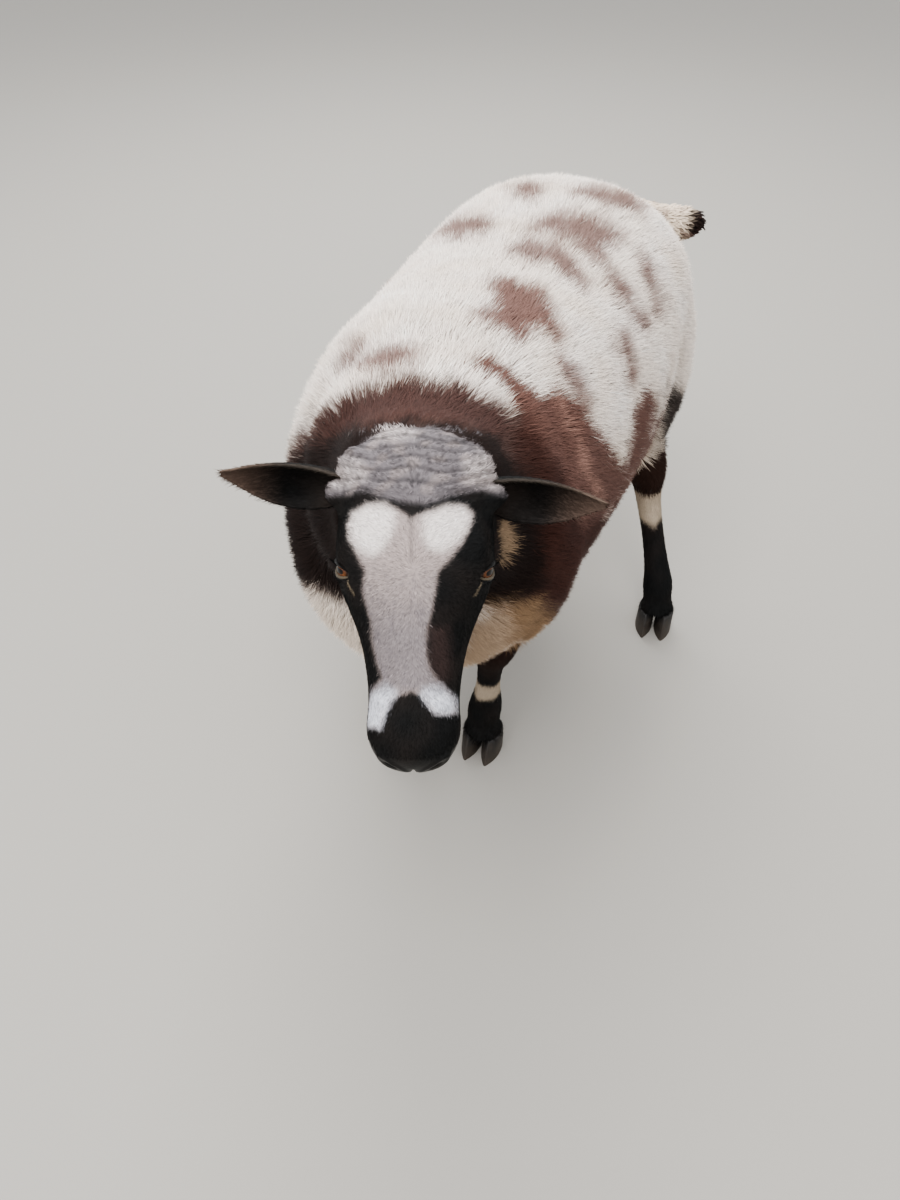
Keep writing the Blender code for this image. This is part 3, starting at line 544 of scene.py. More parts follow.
def cap_folds(points):
    """The cap's folds from -1 to 1: a sine along the head, bent by noise and by the side's square."""
    along, side, _ = in_head(points)
    bent = along + 0.006 * ripple(points, 0.07, 3) + 0.10 * side**2 / 0.07
    return np.sin(2 * math.pi * bent / FOLDS)


out = read(fused, "normal")
along, side, up = in_head(places)
push = np.zeros(len(places))
hollow = np.full(len(places), 9.0)  # how far out of a nostril: 1 at its rim
for way in (1, -1):
    offset = places - (from_head(NOSTRIL[0], way * NOSTRIL[1], NOSTRIL[2]) + SHIFT)
    long_way = head_way(NOSTRIL_WAY[0], way * NOSTRIL_WAY[1], NOSTRIL_WAY[2])
    t = offset @ long_way
    rest = np.linalg.norm(offset - t[:, None] * long_way, axis=1)
    far = np.hypot(t / NOSTRIL_LONG, rest / NOSTRIL_WIDE)
    push -= NOSTRIL_DEEP * (1 - rise(far, 0.30, 1.05))
    hollow = np.minimum(hollow, far)
    push += NOSTRIL_RIM * bell(far, 1.45, 0.35)
line = MOUTH[0] + MOUTH[1] * np.clip(abs(side) / MOUTH[2], 0, 1) ** 2.6
at_mouth = rise(along, MOUTH[3] - 0.004, MOUTH[3] + 0.010)
push -= MOUTH_DEEP * bell(up - line, 0.0, 0.0016) * at_mouth
push += UPPER_LIP * bell(up - line, 0.0050, 0.0040) * at_mouth
push += LOWER_LIP * bell(up - line, -0.0055, 0.0042) * at_mouth
philtrum = bell(side, 0.0, 0.0016) * rise(along, 0.272, 0.280) * rise(up, line + 0.002, line + 0.008)
push -= PHILTRUM_DEEP * philtrum * (1 - rise(up, -0.050, -0.040))
cap = rise(-along, -0.036, -0.016) * rise(up, -0.050, -0.020)
push += FOLD_HIGH * cap * cap_folds(places) * (0.65 + 0.35 * ripple(places, 0.03, 4))
push -= CAP_EDGE * bell(along, 0.036, 0.008) * rise(up, -0.045, -0.02)
push += NOSE_RIDGES * bell(abs(side), 0.018, 0.009) * rise(along, 0.10, 0.15) * rise(up, -0.02, 0.0)
cheek = ((along - 0.150) / 0.030) ** 2 + ((abs(side) - 0.050) / 0.014) ** 2
push -= CHEEK_HOLLOW * np.exp(-cheek) * rise(up, -0.08, -0.05)
places = places + (push * (headness(places) < 1.25))[:, None] * out

LOOK = (0.16, 0.85, 0.50)  # the eyes look this far along the head, to the side and up
LID_TURN = math.radians(67)
LID_HALF = (0.0134, 0.0043)  # half length and half height of the opening, along the eyeball
LID_EDGE = 0.0018  # from the opening to where the skin turns in
SOCKET = EYE_RADIUS + 0.0008  # the skin goes on behind the eyeball at this radius


def squared(way, *axes):
    """A direction without its parts along some axes, at length 1."""
    rest = way
    for axis in axes:
        rest = rest - axis * (way @ axis)
    return rest / np.linalg.norm(rest)


def eye_frame(way):
    """Rows: along the slit, across it, and out of the eye."""
    look = head_way(LOOK[0], way * LOOK[1], LOOK[2])
    slit = squared(head_way(math.cos(LID_TURN), 0.0, math.sin(LID_TURN)), look)
    return np.array((slit, np.cross(look, slit), look))


def round_eye(points, way):
    """How points lie round an eyeball.

    First along the slit and across it, their length together, and the distance from the eyeball's
    middle. Then the angle from its look, and the measure of the lids' opening: an ellipse drawn
    on the ball, 1 at its edge.
    """
    x, y, z = eye_frame(way) @ (points - (eye_middle(way) + SHIFT)).T
    far = np.sqrt(x * x + y * y + z * z)
    swing = np.arccos(np.clip(z / far, -1, 1))
    flat = np.maximum(np.hypot(x, y), 1e-9)
    arc_x, arc_y = swing * EYE_RADIUS * x / flat, swing * EYE_RADIUS * y / flat
    opening = np.hypot(arc_x / (LID_HALF[0] + LID_EDGE), arc_y / (LID_HALF[1] + LID_EDGE))
    return x, y, flat, far, swing, opening


for way in (1, -1):
    x, y, flat, far, swing, opening = round_eye(places, way)
    inside = (opening < 1) & (far < 0.024)
    turned = math.pi - (math.pi - swing) * np.clip(opening, 0, 1) ** 0.8
    turned = np.where(inside, np.maximum(turned, swing), swing)
    ball = on_ball(SOCKET, turned, x, y, flat)
    places = np.where(inside[:, None], (eye_middle(way) + SHIFT) + ball @ eye_frame(way), places)
fused.vertices.foreach_set("co", places.ravel())

EAR_LENGTH = 0.124
EAR_HALF = (0.0150, 0.0195, 0.0245, 0.0275, 0.0285, 0.0275, 0.0245, 0.0190, 0.0115, 0.0035)
EAR_CUP = (0.0140, 0.0165, 0.0175, 0.0165, 0.0145, 0.0120, 0.0095, 0.0070, 0.0045, 0.0022)
EAR_SKIN = 0.0030
EAR_ROOT = (0.016, 0.060, -0.036)
EAR_POINT = {1: (0.12, 1.0, -0.10), -1: (-0.075, 1.0, 0.03)}
EAR_OPEN = (0.74, 0.12, 0.66)
EAR_ARCS = 46  # from the root to the tip
EAR_ARC = np.linspace(-math.pi / 2, math.pi / 2, 21)


def tip_of(way):
    """The direction in which the left (1) or right (-1) ear points."""
    return head_way(EAR_POINT[way][0], way * EAR_POINT[way][1], EAR_POINT[way][2])


def ear_rings(way):
    """A cupped leaf: half-oval arcs, outer and then inner, whose upper edge runs straight."""
    tip_way = tip_of(way)
    open_way = squared(head_way(EAR_OPEN[0], way * EAR_OPEN[1], EAR_OPEN[2]), tip_way)
    down = squared(head_way(1.0, 0.0, -0.6), tip_way, open_way)
    half, cup = through(np.stack((EAR_HALF, EAR_CUP), axis=1), EAR_ARCS).T
    share = np.linspace(0, 1, EAR_ARCS)
    hollow = np.maximum(cup - EAR_SKIN, cup * 0.2) * rise(share, -0.02, 0.05)
    inner = half - np.minimum(EAR_SKIN * 0.8, half * 0.3)
    root = from_head(EAR_ROOT[0], way * EAR_ROOT[1], EAR_ROOT[2])
    centre = root + np.outer(EAR_LENGTH * share, tip_way) + np.outer((half - half[0]) * 0.75, down)
    centre -= np.outer(0.010 * np.sin(math.pi * share), open_way)
    across = np.hstack((np.outer(half, np.sin(EAR_ARC)), np.outer(inner, np.sin(EAR_ARC[::-1]))))
    deep = np.hstack((np.outer(cup, np.cos(EAR_ARC)), np.outer(hollow, np.cos(EAR_ARC[::-1]))))
    return centre[:, None] + across[..., None] * down - deep[..., None] * open_way


def face_outward(mesh):
    """Turns a closed mesh's faces outward, where its signed volume says that they point in."""
    body = bmesh.new()
    body.from_mesh(mesh)
    if body.calc_volume(signed=True) < 0:
        bmesh.ops.reverse_faces(body, faces=body.faces)
    body.to_mesh(mesh)
    body.free()


body = bmesh.new()
body.from_mesh(fused)
for way in (1, -1):
    points, faces = closed(ear_rings(way))
    shell = mesh_of("shell", points + SHIFT, faces)
    face_outward(shell)
    body.from_mesh(shell)
ear_size = len(points)
bmesh.ops.triangulate(body, faces=body.faces)
skin_mesh = bpy.data.meshes.new("skin")
body.to_mesh(skin_mesh)
body.free()
skin_mesh.shade_smooth()
skin_mesh.update()
skin = linked("skin", skin_mesh)

# ---- Where each part of the skin lies, for its hair and its colour. Ears are told by their own
# points, and the rest by place: the head by its rings, and a leg, the tail and the scrotum by
# nearness to the path through them.
BODY, HEAD_PART, EAR, LEG, TAIL_PART, POUCH = range(6)
leg_paths = [rings.mean(axis=1) for rings in legs.values()]
leg_widths = [
    abs(rings - rings.mean(axis=1, keepdims=True)).max(axis=(1, 2)) for rings in legs.values()
]
LEG_TOPS = (0.300, 0.300, 0.345, 0.345)  # where the short hair of each leg ends
pouch_path = pouch_rings.mean(axis=1)


def level_with(path, heights):
    """The places across of a path that runs down, at some heights."""
    return np.stack([np.interp(-heights, -path[:, 2], path[:, k]) for k in (0, 1)], axis=1)


places, outward = read(skin_mesh), read(skin_mesh, "normal")
plain = places - SHIFT
part = np.full(len(places), BODY)
limb = np.zeros(len(places), int)
along, side, up = in_head(places)
at_cap = (along > -0.034) & (along < 0.05) & (up > -0.062)
part[headness(places) < np.where(at_cap, 1.30, 1.12)] = HEAD_PART
part[(along > 0.20) & (abs(side) < 0.07) & (up > -0.125)] = HEAD_PART
for number, (path, width, top) in enumerate(zip(leg_paths, leg_widths, LEG_TOPS)):
    thick = np.interp(-plain[:, 2], -path[:, 2], width)
    near = np.linalg.norm(plain[:, :2] - level_with(path, plain[:, 2]), axis=1) < thick * 1.9
    mine = near & (plain[:, 2] < top) & (part == BODY)
    part[mine] = LEG
    limb[mine] = number
for path, label, reach, limit in (
    (tail_rings.mean(axis=1), TAIL_PART, 0.043, plain[:, 1] > 0.338),
    (pouch_path, POUCH, 0.058, plain[:, 2] < 0.345),
):
    gap = np.linalg.norm(plain[:, None] - path[None, ::2], axis=2).min(axis=1)
    part[(gap < reach) & limit & (part == BODY)] = label
fused_count = len(fused.vertices)
part[fused_count:] = EAR
ear_along, ear_across, ear_inner, ear_side = np.zeros((4, len(places)))
ear_number = np.arange(len(places) - fused_count)
around_ear = 2 * len(EAR_ARC)
column = ear_number % ear_size % around_ear
ear_along[fused_count:] = np.minimum(ear_number % ear_size // around_ear, EAR_ARCS - 1) / (EAR_ARCS - 1)
ear_inner[fused_count:] = column >= len(EAR_ARC)
column = np.where(column < len(EAR_ARC), column, around_ear - 1 - column)
ear_across[fused_count:] = np.sin(EAR_ARC)[column]
ear_side[fused_count:] = ear_number // ear_size

# ---- The coat's colours: white wool with brown spots, a dark collar, a black head with a white blaze
# and dark legs with pale rings. Spots on the near side are outlines drawn on the camera's plane, in
# its pixels, and those of the far side are ellipsoids after the breed. Both get ragged edges.
AHEAD = np.array(
    (
        -math.sin(VIEW_TURN) * math.cos(VIEW_DOWN),
        math.cos(VIEW_TURN) * math.cos(VIEW_DOWN),
        -math.sin(VIEW_DOWN),
    )
)
ASIDE = np.array((math.cos(VIEW_TURN), math.sin(VIEW_TURN), 0.0))
ABOVE = np.cross(ASIDE, AHEAD)


def rgb(*levels):
    """Linear colour of display levels from 0 to 255."""
    level = np.array(levels) / 255
    return np.where(level < 0.04045, level / 12.92, ((level + 0.055) / 1.055) ** 2.4)


WHITE, CREAM = rgb(244, 234, 226), rgb(218, 200, 180)
BROWN, DARK, RED, FAINT = rgb(92, 57, 48), rgb(33, 23, 20), rgb(99, 63, 54), rgb(112, 85, 78)
SHADE, COLLAR_RIM, FLANK_STREAK = rgb(66, 40, 33), rgb(68, 45, 40), rgb(168, 132, 118)
CHEST_STAIN_AND_SHADE, THROAT_CURL_IN_SHADE = rgb(158, 130, 100), rgb(160, 136, 110)
BLACK, GREY, BEIGE, SOOT = rgb(13, 13, 13), rgb(114, 108, 110), rgb(168, 152, 128), rgb(46, 37, 33)
PINK, BLUE, FOREHEAD = rgb(150, 138, 134), rgb(206, 208, 216), rgb(208, 200, 195)
CAP_PALE, CHEEK_TAN, SPECK = rgb(190, 180, 177), rgb(64, 49, 46), rgb(96, 90, 94)
EAR_TIP, EAR_HOLLOW, EAR_RIM_HIGHLIGHT = rgb(104, 86, 76), rgb(60, 50, 44), rgb(150, 136, 122)
SHANK, LEG_PALE = rgb(70, 45, 36), rgb(184, 168, 148)
POUCH_PINK, POUCH_DARK = rgb(150, 112, 96), rgb(92, 66, 56)
BODY_MARKS = (  # colour, how strong, how soft its edge is in pixels, and outlines: across, down, ...
    (FAINT, 0.92, 9, (
        (507, 250, 527, 243, 553, 247, 570, 260, 585, 283, 582, 288, 563, 273, 547, 263, 533, 258, 517, 257),
        (527, 230, 553, 217, 577, 217, 607, 227, 620, 238, 610, 245, 600, 247, 603, 267, 590, 257, 570, 240,
         550, 233),
        (570, 193, 590, 190, 620, 192, 643, 207, 637, 212, 620, 207, 597, 202),
        (510, 190, 525, 186, 540, 190, 538, 198, 520, 199),
        (430, 237, 443, 225, 470, 220, 490, 225, 483, 233, 457, 237),
        (357, 370, 380, 353, 403, 350, 417, 357, 403, 367, 377, 370),
        (340, 367, 353, 343, 360, 343, 353, 360),
        (553, 360, 567, 367, 580, 383, 587, 403, 583, 407, 570, 387, 557, 370),
        (617, 333, 625, 340, 632, 370, 630, 387, 623, 367, 617, 347),
        (603, 267, 620, 283, 637, 313, 643, 327, 640, 330, 623, 303, 607, 280),
        (640, 257, 648, 267, 657, 300, 658, 313, 653, 313, 647, 287, 640, 267),
    )),
    (RED, 0.92, 9, (
        (483, 285, 500, 278, 523, 283, 543, 293, 552, 313, 563, 343, 557, 348, 540, 330, 527, 333, 517, 345,
         500, 337, 477, 323, 467, 315, 477, 308, 492, 308, 487, 295),
    )),
    (BROWN, 0.95, 5, (
        (517, 410, 553, 390, 570, 397, 587, 417, 600, 437, 610, 447, 617, 460, 620, 470, 628, 443, 632, 410,
         643, 387, 655, 397, 655, 423, 643, 455, 626, 490, 607, 520, 590, 560, 560, 600, 530, 600, 500, 560,
         520, 500, 510, 440),
        (460, 357, 483, 357, 503, 370, 527, 387, 547, 403, 553, 417, 517, 410, 503, 390, 487, 378, 467, 367),
    )),
    (SHADE, 0.97, 8, (
        (262, 585, 265, 520, 277, 478, 291, 446, 312, 420, 342, 397, 375, 384, 410, 379, 440, 381, 470, 390,
         498, 403, 520, 421, 540, 443, 553, 464, 566, 500, 573, 530, 600, 515, 604, 530, 600, 550, 586, 572,
         576, 592, 552, 630, 535, 652, 500, 660, 512, 625, 500, 606, 440, 606, 330, 594, 297, 580),
    )),
    (COLLAR_RIM, 0.78, 9, (
        (318, 420, 345, 396, 375, 383, 410, 377, 440, 379, 470, 388, 500, 402, 520, 418, 500, 438, 475, 426,
         440, 419, 410, 418, 375, 422, 345, 431, 318, 448),
        (540, 450, 556, 470, 572, 505, 580, 540, 566, 560, 556, 520, 546, 480),
    )),
    (DARK, 0.97, 8, (
        (263, 583, 266, 520, 280, 480, 296, 455, 318, 444, 345, 430, 375, 423, 410, 420, 440, 422, 475, 428,
         500, 440, 516, 460, 526, 487, 536, 530, 543, 584, 510, 606, 440, 606, 330, 592, 297, 580),
        (668, 383, 692, 397, 705, 430, 684, 478, 650, 478, 660, 412),
    )),
    (FLANK_STREAK, 0.6, 3, (
        (550, 398, 557, 398, 574, 430, 588, 470, 603, 500, 598, 502, 579, 470, 566, 432),
    )),
    # The chest under the head: cream wool stained ochre, and darker still with painted shade.
    (CHEST_STAIN_AND_SHADE, 0.8, 9, (
        (462, 625, 480, 610, 510, 600, 540, 602, 550, 612, 540, 645, 520, 670, 490, 690, 465, 700, 452, 660),
    )),
    # A cream curl of wool by the throat, darkened with painted shade.
    (THROAT_CURL_IN_SHADE, 0.85, 3, (
        (502, 521, 514, 523, 518, 541, 510, 562, 503, 568),
    )),
)
BODY_SPOTS = (  # for the far side: colour, centre, radii
    (DARK, (0.03, -0.40, 0.57), (0.24, 0.110, 0.21)),
    (DARK, (-0.19, -0.24, 0.50), (0.10, 0.100, 0.13)),
    (BROWN, (-0.21, -0.04, 0.42), (0.10, 0.110, 0.09)),
    (BROWN, (-0.20, 0.10, 0.58), (0.10, 0.060, 0.045)),
    (RED, (-0.19, -0.06, 0.60), (0.06, 0.045, 0.040)),
    (FAINT, (-0.20, 0.21, 0.47), (0.10, 0.045, 0.080)),
    (BROWN, (-0.10, 0.32, 0.60), (0.06, 0.060, 0.035)),
    (FAINT, (0.06, 0.36, 0.50), (0.05, 0.060, 0.060)),
    (BROWN, (-0.02, -0.08, 0.27), (0.13, 0.150, 0.06)),
    (BROWN, (0.20, 0.00, 0.39), (0.08, 0.150, 0.165)),
    (SHADE, (0.20, -0.17, 0.42), (0.10, 0.120, 0.13)),
    (DARK, (0.21, 0.23, 0.37), (0.10, 0.110, 0.09)),
)
CAP_PATCHES = (  # where the cap's hair is pale and stands in bunches
    (329, 487, 330, 464, 342, 458, 360, 462, 364, 478, 350, 487),
    (466, 484, 466, 460, 482, 453, 500, 456, 508, 470, 504, 487),
    (374, 438, 378, 420, 395, 414, 414, 418, 412, 434, 392, 440),
)
HEAD_MARKS = (
    (GREY, 0.85, 5, (
        (316, 499, 316, 462, 334, 440, 364, 424, 395, 412, 430, 413, 466, 424, 497, 440, 518, 462, 512, 497,
         485, 490, 455, 493, 428, 504, 400, 501, 367, 490),
    )),
    (PINK, 0.97, 3.5, (
        (348, 525, 352, 513, 365, 505, 385, 503, 397, 509, 406, 515, 411, 519, 427, 512, 445, 506, 465, 506,
         474, 513, 471, 525, 464, 540, 450, 560, 438, 573, 436, 590, 432, 607, 427, 627, 425, 655, 430, 670,
         445, 687, 455, 700, 457, 712, 452, 715, 435, 715, 430, 707, 422, 695, 410, 690, 395, 697, 385, 712,
         380, 730, 366, 727, 360, 715, 361, 705, 370, 692, 382, 677, 376, 662, 372, 640, 370, 620, 365, 605,
         362, 590, 365, 572, 357, 555, 350, 540),
    )),
    (FOREHEAD, 0.97, 7, (
        (350, 526, 353, 514, 366, 507, 384, 505, 394, 513, 392, 532, 382, 548, 372, 556, 360, 551, 352, 540),
        (424, 517, 445, 507, 465, 508, 471, 516, 467, 527, 458, 541, 443, 552, 430, 548, 424, 535),
    )),
    (CAP_PALE, 0.85, 8, CAP_PATCHES),
    (BLUE, 0.9, 5, (
        (361, 716, 362, 705, 371, 693, 386, 682, 397, 692, 386, 711, 380, 729, 367, 726),
        (424, 686, 440, 684, 455, 700, 456, 711, 450, 714, 436, 714, 430, 706, 421, 694),
    )),
    (CHEEK_TAN, 0.55, 8, (
        (428, 627, 448, 627, 452, 660, 450, 677, 440, 683, 430, 668),
    )),
    (BLACK, 0.35, 2.0, (
        (409, 515, 413, 515, 412, 562, 410, 562),
        (435, 713, 450, 706, 451, 709, 437, 716),
    )),
)
LEG_BANDS = ((0.125, 0.163), (0.132, 0.172), (0.196, 0.249), (0.170, 0.232))  # the pale rings' heights
BAND_SOFT = 0.006
OUTSIDE, EDGE = -40.0, 14  # pixels: well out of every outline, and where its distance stops counting
METRE = 900  # pixels, about, of a metre on the ram


def seen(points):
    """Across and down in pixels: a pinhole drawing from the camera's place."""
    away = points - SHIFT - VIEW_FROM
    depth = away @ AHEAD
    across = PHOTO_WIDE / 2 + VIEW_FOCAL * (away @ ASIDE) / depth
    return np.stack((across, PHOTO_HIGH / 2 - VIEW_FOCAL * (away @ ABOVE) / depth), axis=1)


def within(spots, outline):
    """Distance in pixels to the edge of an outline, positive inside it."""
    start = np.array(outline, float).reshape(-1, 2)
    edge = np.roll(start, -1, axis=0) - start
    rel = spots[:, None] - start
    t = np.clip((rel * edge).sum(2) / (edge**2).sum(1), 0, 1)
    far = np.linalg.norm(rel - t[..., None] * edge, axis=2).min(axis=1)
    crossed = (start[:, 1] > spots[:, 1:]) != (start[:, 1] + edge[:, 1] > spots[:, 1:])
    fall = np.where(edge[:, 1] == 0, 1e-9, edge[:, 1])
    at = start[:, 0] + (spots[:, 1:] - start[:, 1]) * edge[:, 0] / fall
    odd = (crossed & (spots[:, :1] < at)).sum(axis=1) % 2
    return np.where(odd == 1, far, -far)


def coloured(colour, over, share):
    """A colour with a share of another laid over it."""
    return colour + (over - colour) * share[:, None]


def tear(points):
    """Distance to the pale streak that runs from the eye's inner corner down the face."""
    near = np.full(len(points), 9.0)
    for way in (1, -1):
        slit, _, look = eye_frame(way)
        run = head_way(0.90, -0.42 * way, 0.10)
        run = run - look * (run @ look)
        rel = points - SHIFT - eye_middle(way)
        deep = rel @ look
        rel = rel - deep[:, None] * look - slit * (LID_HALF[0] + 0.001)
        t = np.clip(rel @ run, 0.002, 0.019)
        gap = np.linalg.norm(rel - t[:, None] * run, axis=1)
        near = np.minimum(near, np.where(abs(deep) < 0.03, gap, 9.0))
    return near


def paint(points, outward, part, limb=0, along_ear=0.0, across_ear=0.0, inner_ear=0.0, loose=0.0):
    """Colour of each place.

    Each marking is laid over the last, by how far inside its ragged outline a place lies, and the
    face, ears, legs, tail and scrotum have tones of their own. Loose is how many pixels a place may
    stray, as hair tips do.
    """
    told = (part, limb, along_ear, across_ear, inner_ear)
    part, limb, along_ear, across_ear, inner_ear = (np.broadcast_to(v, len(points)) for v in told)
    plain = points - SHIFT
    to_eye = VIEW_FROM - plain
    facing = (to_eye * outward).sum(1) / np.linalg.norm(to_eye, axis=1)
    is_head = part == HEAD_PART
    near = rise(facing, -0.05, 0.22)
    near = np.where(is_head, near * rise(in_head(points)[2], -0.088, -0.076), near)
    spots = seen(points) + np.random.default_rng(7).normal(0, 1, (len(points), 2)) * loose
    ragged = 4.0 * ripple(points, 0.035, 11) + 2.2 * ripple(points, 0.012, 12)
    warp = [ripple(points, 0.17, 31 + k) + 0.45 * ripple(points, 0.06, 34 + k) for k in range(3)]
    bent = plain + 0.034 * np.stack(warp, axis=1)

    def marked(colour, marks, blobs, here):
        """Marks laid over a colour: near the camera by their outlines, behind by the ellipsoids."""
        index = np.flatnonzero(here)
        for over, strong, soft, outlines in marks:
            field = np.full(len(points), OUTSIDE)
            for outline in outlines:
                depth = within(spots[index], outline) + 0.4 * soft * (over is FAINT)
                field[index] = np.maximum(field[index], depth)
            hidden = np.full(len(points), OUTSIDE)
            for blob_colour, centre, radii in blobs:
                if blob_colour is over:
                    far = np.linalg.norm((bent - centre) / np.array(radii), axis=1)
                    hidden = np.maximum(hidden, (1 - far) * min(radii) * METRE)
            field = near * np.clip(field, -EDGE, EDGE) + (1 - near) * np.clip(hidden, -EDGE, EDGE)
            field += ragged * (0.28 if marks is HEAD_MARKS else 0.6 + 0.06 * soft)
            colour = coloured(colour, over, strong * rise(field, -soft, soft))
        return colour

    wool = coloured(WHITE, CREAM, 0.35 + 0.25 * ripple(points, 0.09, 13))
    wool = coloured(wool, CREAM, 0.6 * rise(-plain[:, 2], -0.52, -0.34))
    body = marked(wool, BODY_MARKS, BODY_SPOTS, (part != HEAD_PART) & (part != EAR) & (near > 0))

    dark = coloured(BLACK, SOOT, np.clip(0.10 + 0.25 * ripple(points, 0.05, 14), 0, 1))
    face = marked(dark, HEAD_MARKS, (), is_head & (near > 0))
    drop = spots[:, 1]
    pale = rise(face.mean(axis=1), 0.10, 0.24)
    face = coloured(face, GREY, pale * 0.75 * rise(drop, 560, 645) * (1 - rise(drop, 682, 700)))
    speck = rise(ripple(points, 0.006, 15) + 0.6 * ripple(points, 0.020, 16), 0.1, 0.9)
    face = coloured(face, SPECK, 0.42 * pale * speck * rise(drop, 545, 585))
    face = coloured(face, BEIGE * 0.5, 0.75 * (1 - rise(tear(points), 0.0007, 0.0016)) * is_head)
    cap = rise(-drop, -500, -486) * is_head
    face = coloured(face, PINK, 0.40 * cap * rise(ripple(points, 0.020, 20), 0.0, 0.7))
    face = coloured(face, dark, 0.55 * cap * speck)
    # Painted shade: the cap darkens in the troughs between its folds.
    face = coloured(face, dark, 0.45 * cap * rise(-cap_folds(points), 0.1, 0.9))

    ear = coloured(dark, EAR_TIP, rise(along_ear, 0.50, 0.95) * 0.75)
    ear = coloured(ear, EAR_HOLLOW, 0.4 * inner_ear * (1 - rise(along_ear, 0.1, 0.5)))
    # Painted highlight: a faint light line along the ear's upper edge.
    ear = coloured(ear, EAR_RIM_HIGHLIGHT, 0.12 * rise(-across_ear, 0.97, 0.999))

    low, high = np.array(LEG_BANDS)[limb].T
    z = plain[:, 2] + 0.006 * ripple(points, 0.03, 17)
    leg = coloured(dark, SHANK, 0.5 * rise(z, 0.15, 0.3))
    band = rise(z, low - BAND_SOFT, low + BAND_SOFT) * (1 - rise(z, high - BAND_SOFT, high + BAND_SOFT))
    leg = coloured(leg, LEG_PALE, 0.80 * band)

    tail = coloured(CREAM, DARK, rise(plain[:, 0], 0.118, 0.138))
    tail = coloured(tail, FAINT, 0.5 * rise(ripple(points, 0.03, 18), 0.1, 0.6))
    pouch = coloured(POUCH_PINK, POUCH_DARK, 0.4 + 0.3 * ripple(points, 0.03, 19))
    kinds = [(part == kind)[:, None] for kind in (BODY, HEAD_PART, EAR, LEG, TAIL_PART)]
    return np.select(kinds, [body, face, ear, leg, tail], pouch)


def give_colour(mesh, colour):
    """Keeps a colour with each point of a mesh, for its material to read as tint."""
    layer = mesh.color_attributes.new("tint", "FLOAT_COLOR", "POINT")
    colour = np.hstack((colour, np.ones((len(colour), 1))))
    layer.data.foreach_set("color", colour.astype(np.float32).ravel())


tint = paint(places, outward, part, limb, ear_along, ear_across, ear_inner)
# Painted shade: the skin goes dark deep inside the nostrils, and under the fleece it is a tenth darker.
tint[:fused_count] *= 0.15 + 0.85 * rise(hollow, 0.6, 1.15)[:, None]
give_colour(skin_mesh, tint * np.where(part == BODY, 0.9, 1.0)[:, None])
bare = rise(along, 0.246, 0.262) * (part == HEAD_PART)  # the hairless skin of the nose
bare *= 1 - rise(up, -0.046, -0.030) * (1 - rise(along, 0.262, 0.274))
flag = skin_mesh.attributes.new("bare", "FLOAT", "POINT")
flag.data.foreach_set("value", bare.astype(np.float32))


class Wire:
    """A node's output that can be reckoned with; each sign makes a Math or a Vector Math node."""

    def __init__(self, tree, socket):
        self.tree, self.socket = tree, socket

    def sign(self, kind, first, second):
        """A node that joins two values; it is a Vector Math one where either is a colour."""
        flat = all(not isinstance(v, Wire) or v.socket.type == "VALUE" for v in (first, second))
        node = self.tree.nodes.new("ShaderNodeMath" if flat else "ShaderNodeVectorMath")
        node.operation = kind
        for slot, value in zip(node.inputs, (first, second)):
            if isinstance(value, Wire):
                self.tree.links.new(value.socket, slot)
            elif flat:
                slot.default_value = value
            else:
                slot.default_value = (value,) * 3 if isinstance(value, (int, float)) else value
        return Wire(self.tree, node.outputs[0])

    def __add__(self, other):
        return self.sign("ADD", self, other)

    def __radd__(self, other):
        return self.sign("ADD", other, self)

    def __sub__(self, other):
        return self.sign("SUBTRACT", self, other)

    def __rsub__(self, other):
        return self.sign("SUBTRACT", other, self)

    def __mul__(self, other):
        return self.sign("MULTIPLY", self, other)

    def __rmul__(self, other):
        return self.sign("MULTIPLY", other, self)


class Finish:
    """A material and the nodes that feed its Principled shader."""

    def __init__(self, name, **uniform):
        self.material = bpy.data.materials.new(name)
        self.material.use_nodes = True
        self.tree = self.material.node_tree
        self.shader = self.tree.nodes["Principled BSDF"]
        for key, value in uniform.items():
            self.shader.inputs[key.replace("_", " ")].default_value = value

    def node(self, kind, settings, sockets, out=0):
        """A node of a kind: its settings, then the values or wires of its sockets."""
        made = self.tree.nodes.new("ShaderNode" + kind)
        for key, value in settings.items():
            setattr(made, key, value)
        for key, value in sockets.items():
            if isinstance(value, Wire):
                self.tree.links.new(value.socket, made.inputs[key])
            else:
                made.inputs[key].default_value = value
        return Wire(self.tree, made.outputs[out])

    def feed(self, **wires):
        """Leads wires into the shader's sockets."""
        for key, wire in wires.items():
            self.tree.links.new(wire.socket, self.shader.inputs[key.replace("_", " ")])


def between(wire, low, high):
    """A wire of 0 to 1 as low to high."""
    return wire * (high - low) + low


skin_finish = Finish("hide", Specular_IOR_Level=0.22)
spot = skin_finish.node("TexCoord", {}, {}, "Object")
tone = skin_finish.node("Attribute", {"attribute_name": "tint"}, {}, "Color")
nose = skin_finish.node("Attribute", {"attribute_name": "bare"}, {}, "Fac")
grain = skin_finish.node("TexNoise", {}, {"Vector": spot, "Scale": 420.0, "Detail": 4.0}, "Fac")
pebble = skin_finish.node("TexVoronoi", {}, {"Vector": spot, "Scale": 620.0}, "Distance")
height = grain * (1.0 - nose) + (1.0 - pebble) * nose
bump = skin_finish.node("Bump", {}, {"Height": height, "Strength": 0.22, "Distance": 0.0005}, "Normal")
skin_finish.feed(
    Base_Color=tone * between(grain, 0.72, 1.18), Roughness=between(nose, 0.82, 0.42), Normal=bump
)
skin.data.materials.append(skin_finish.material)
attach(skin, "root")
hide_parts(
    "torso", "neck", "head", "ear_left", "ear_right", "foreleg_left", "foreleg_right",
    "hindleg_left", "hindleg_right", "tail", "scrotum",
)

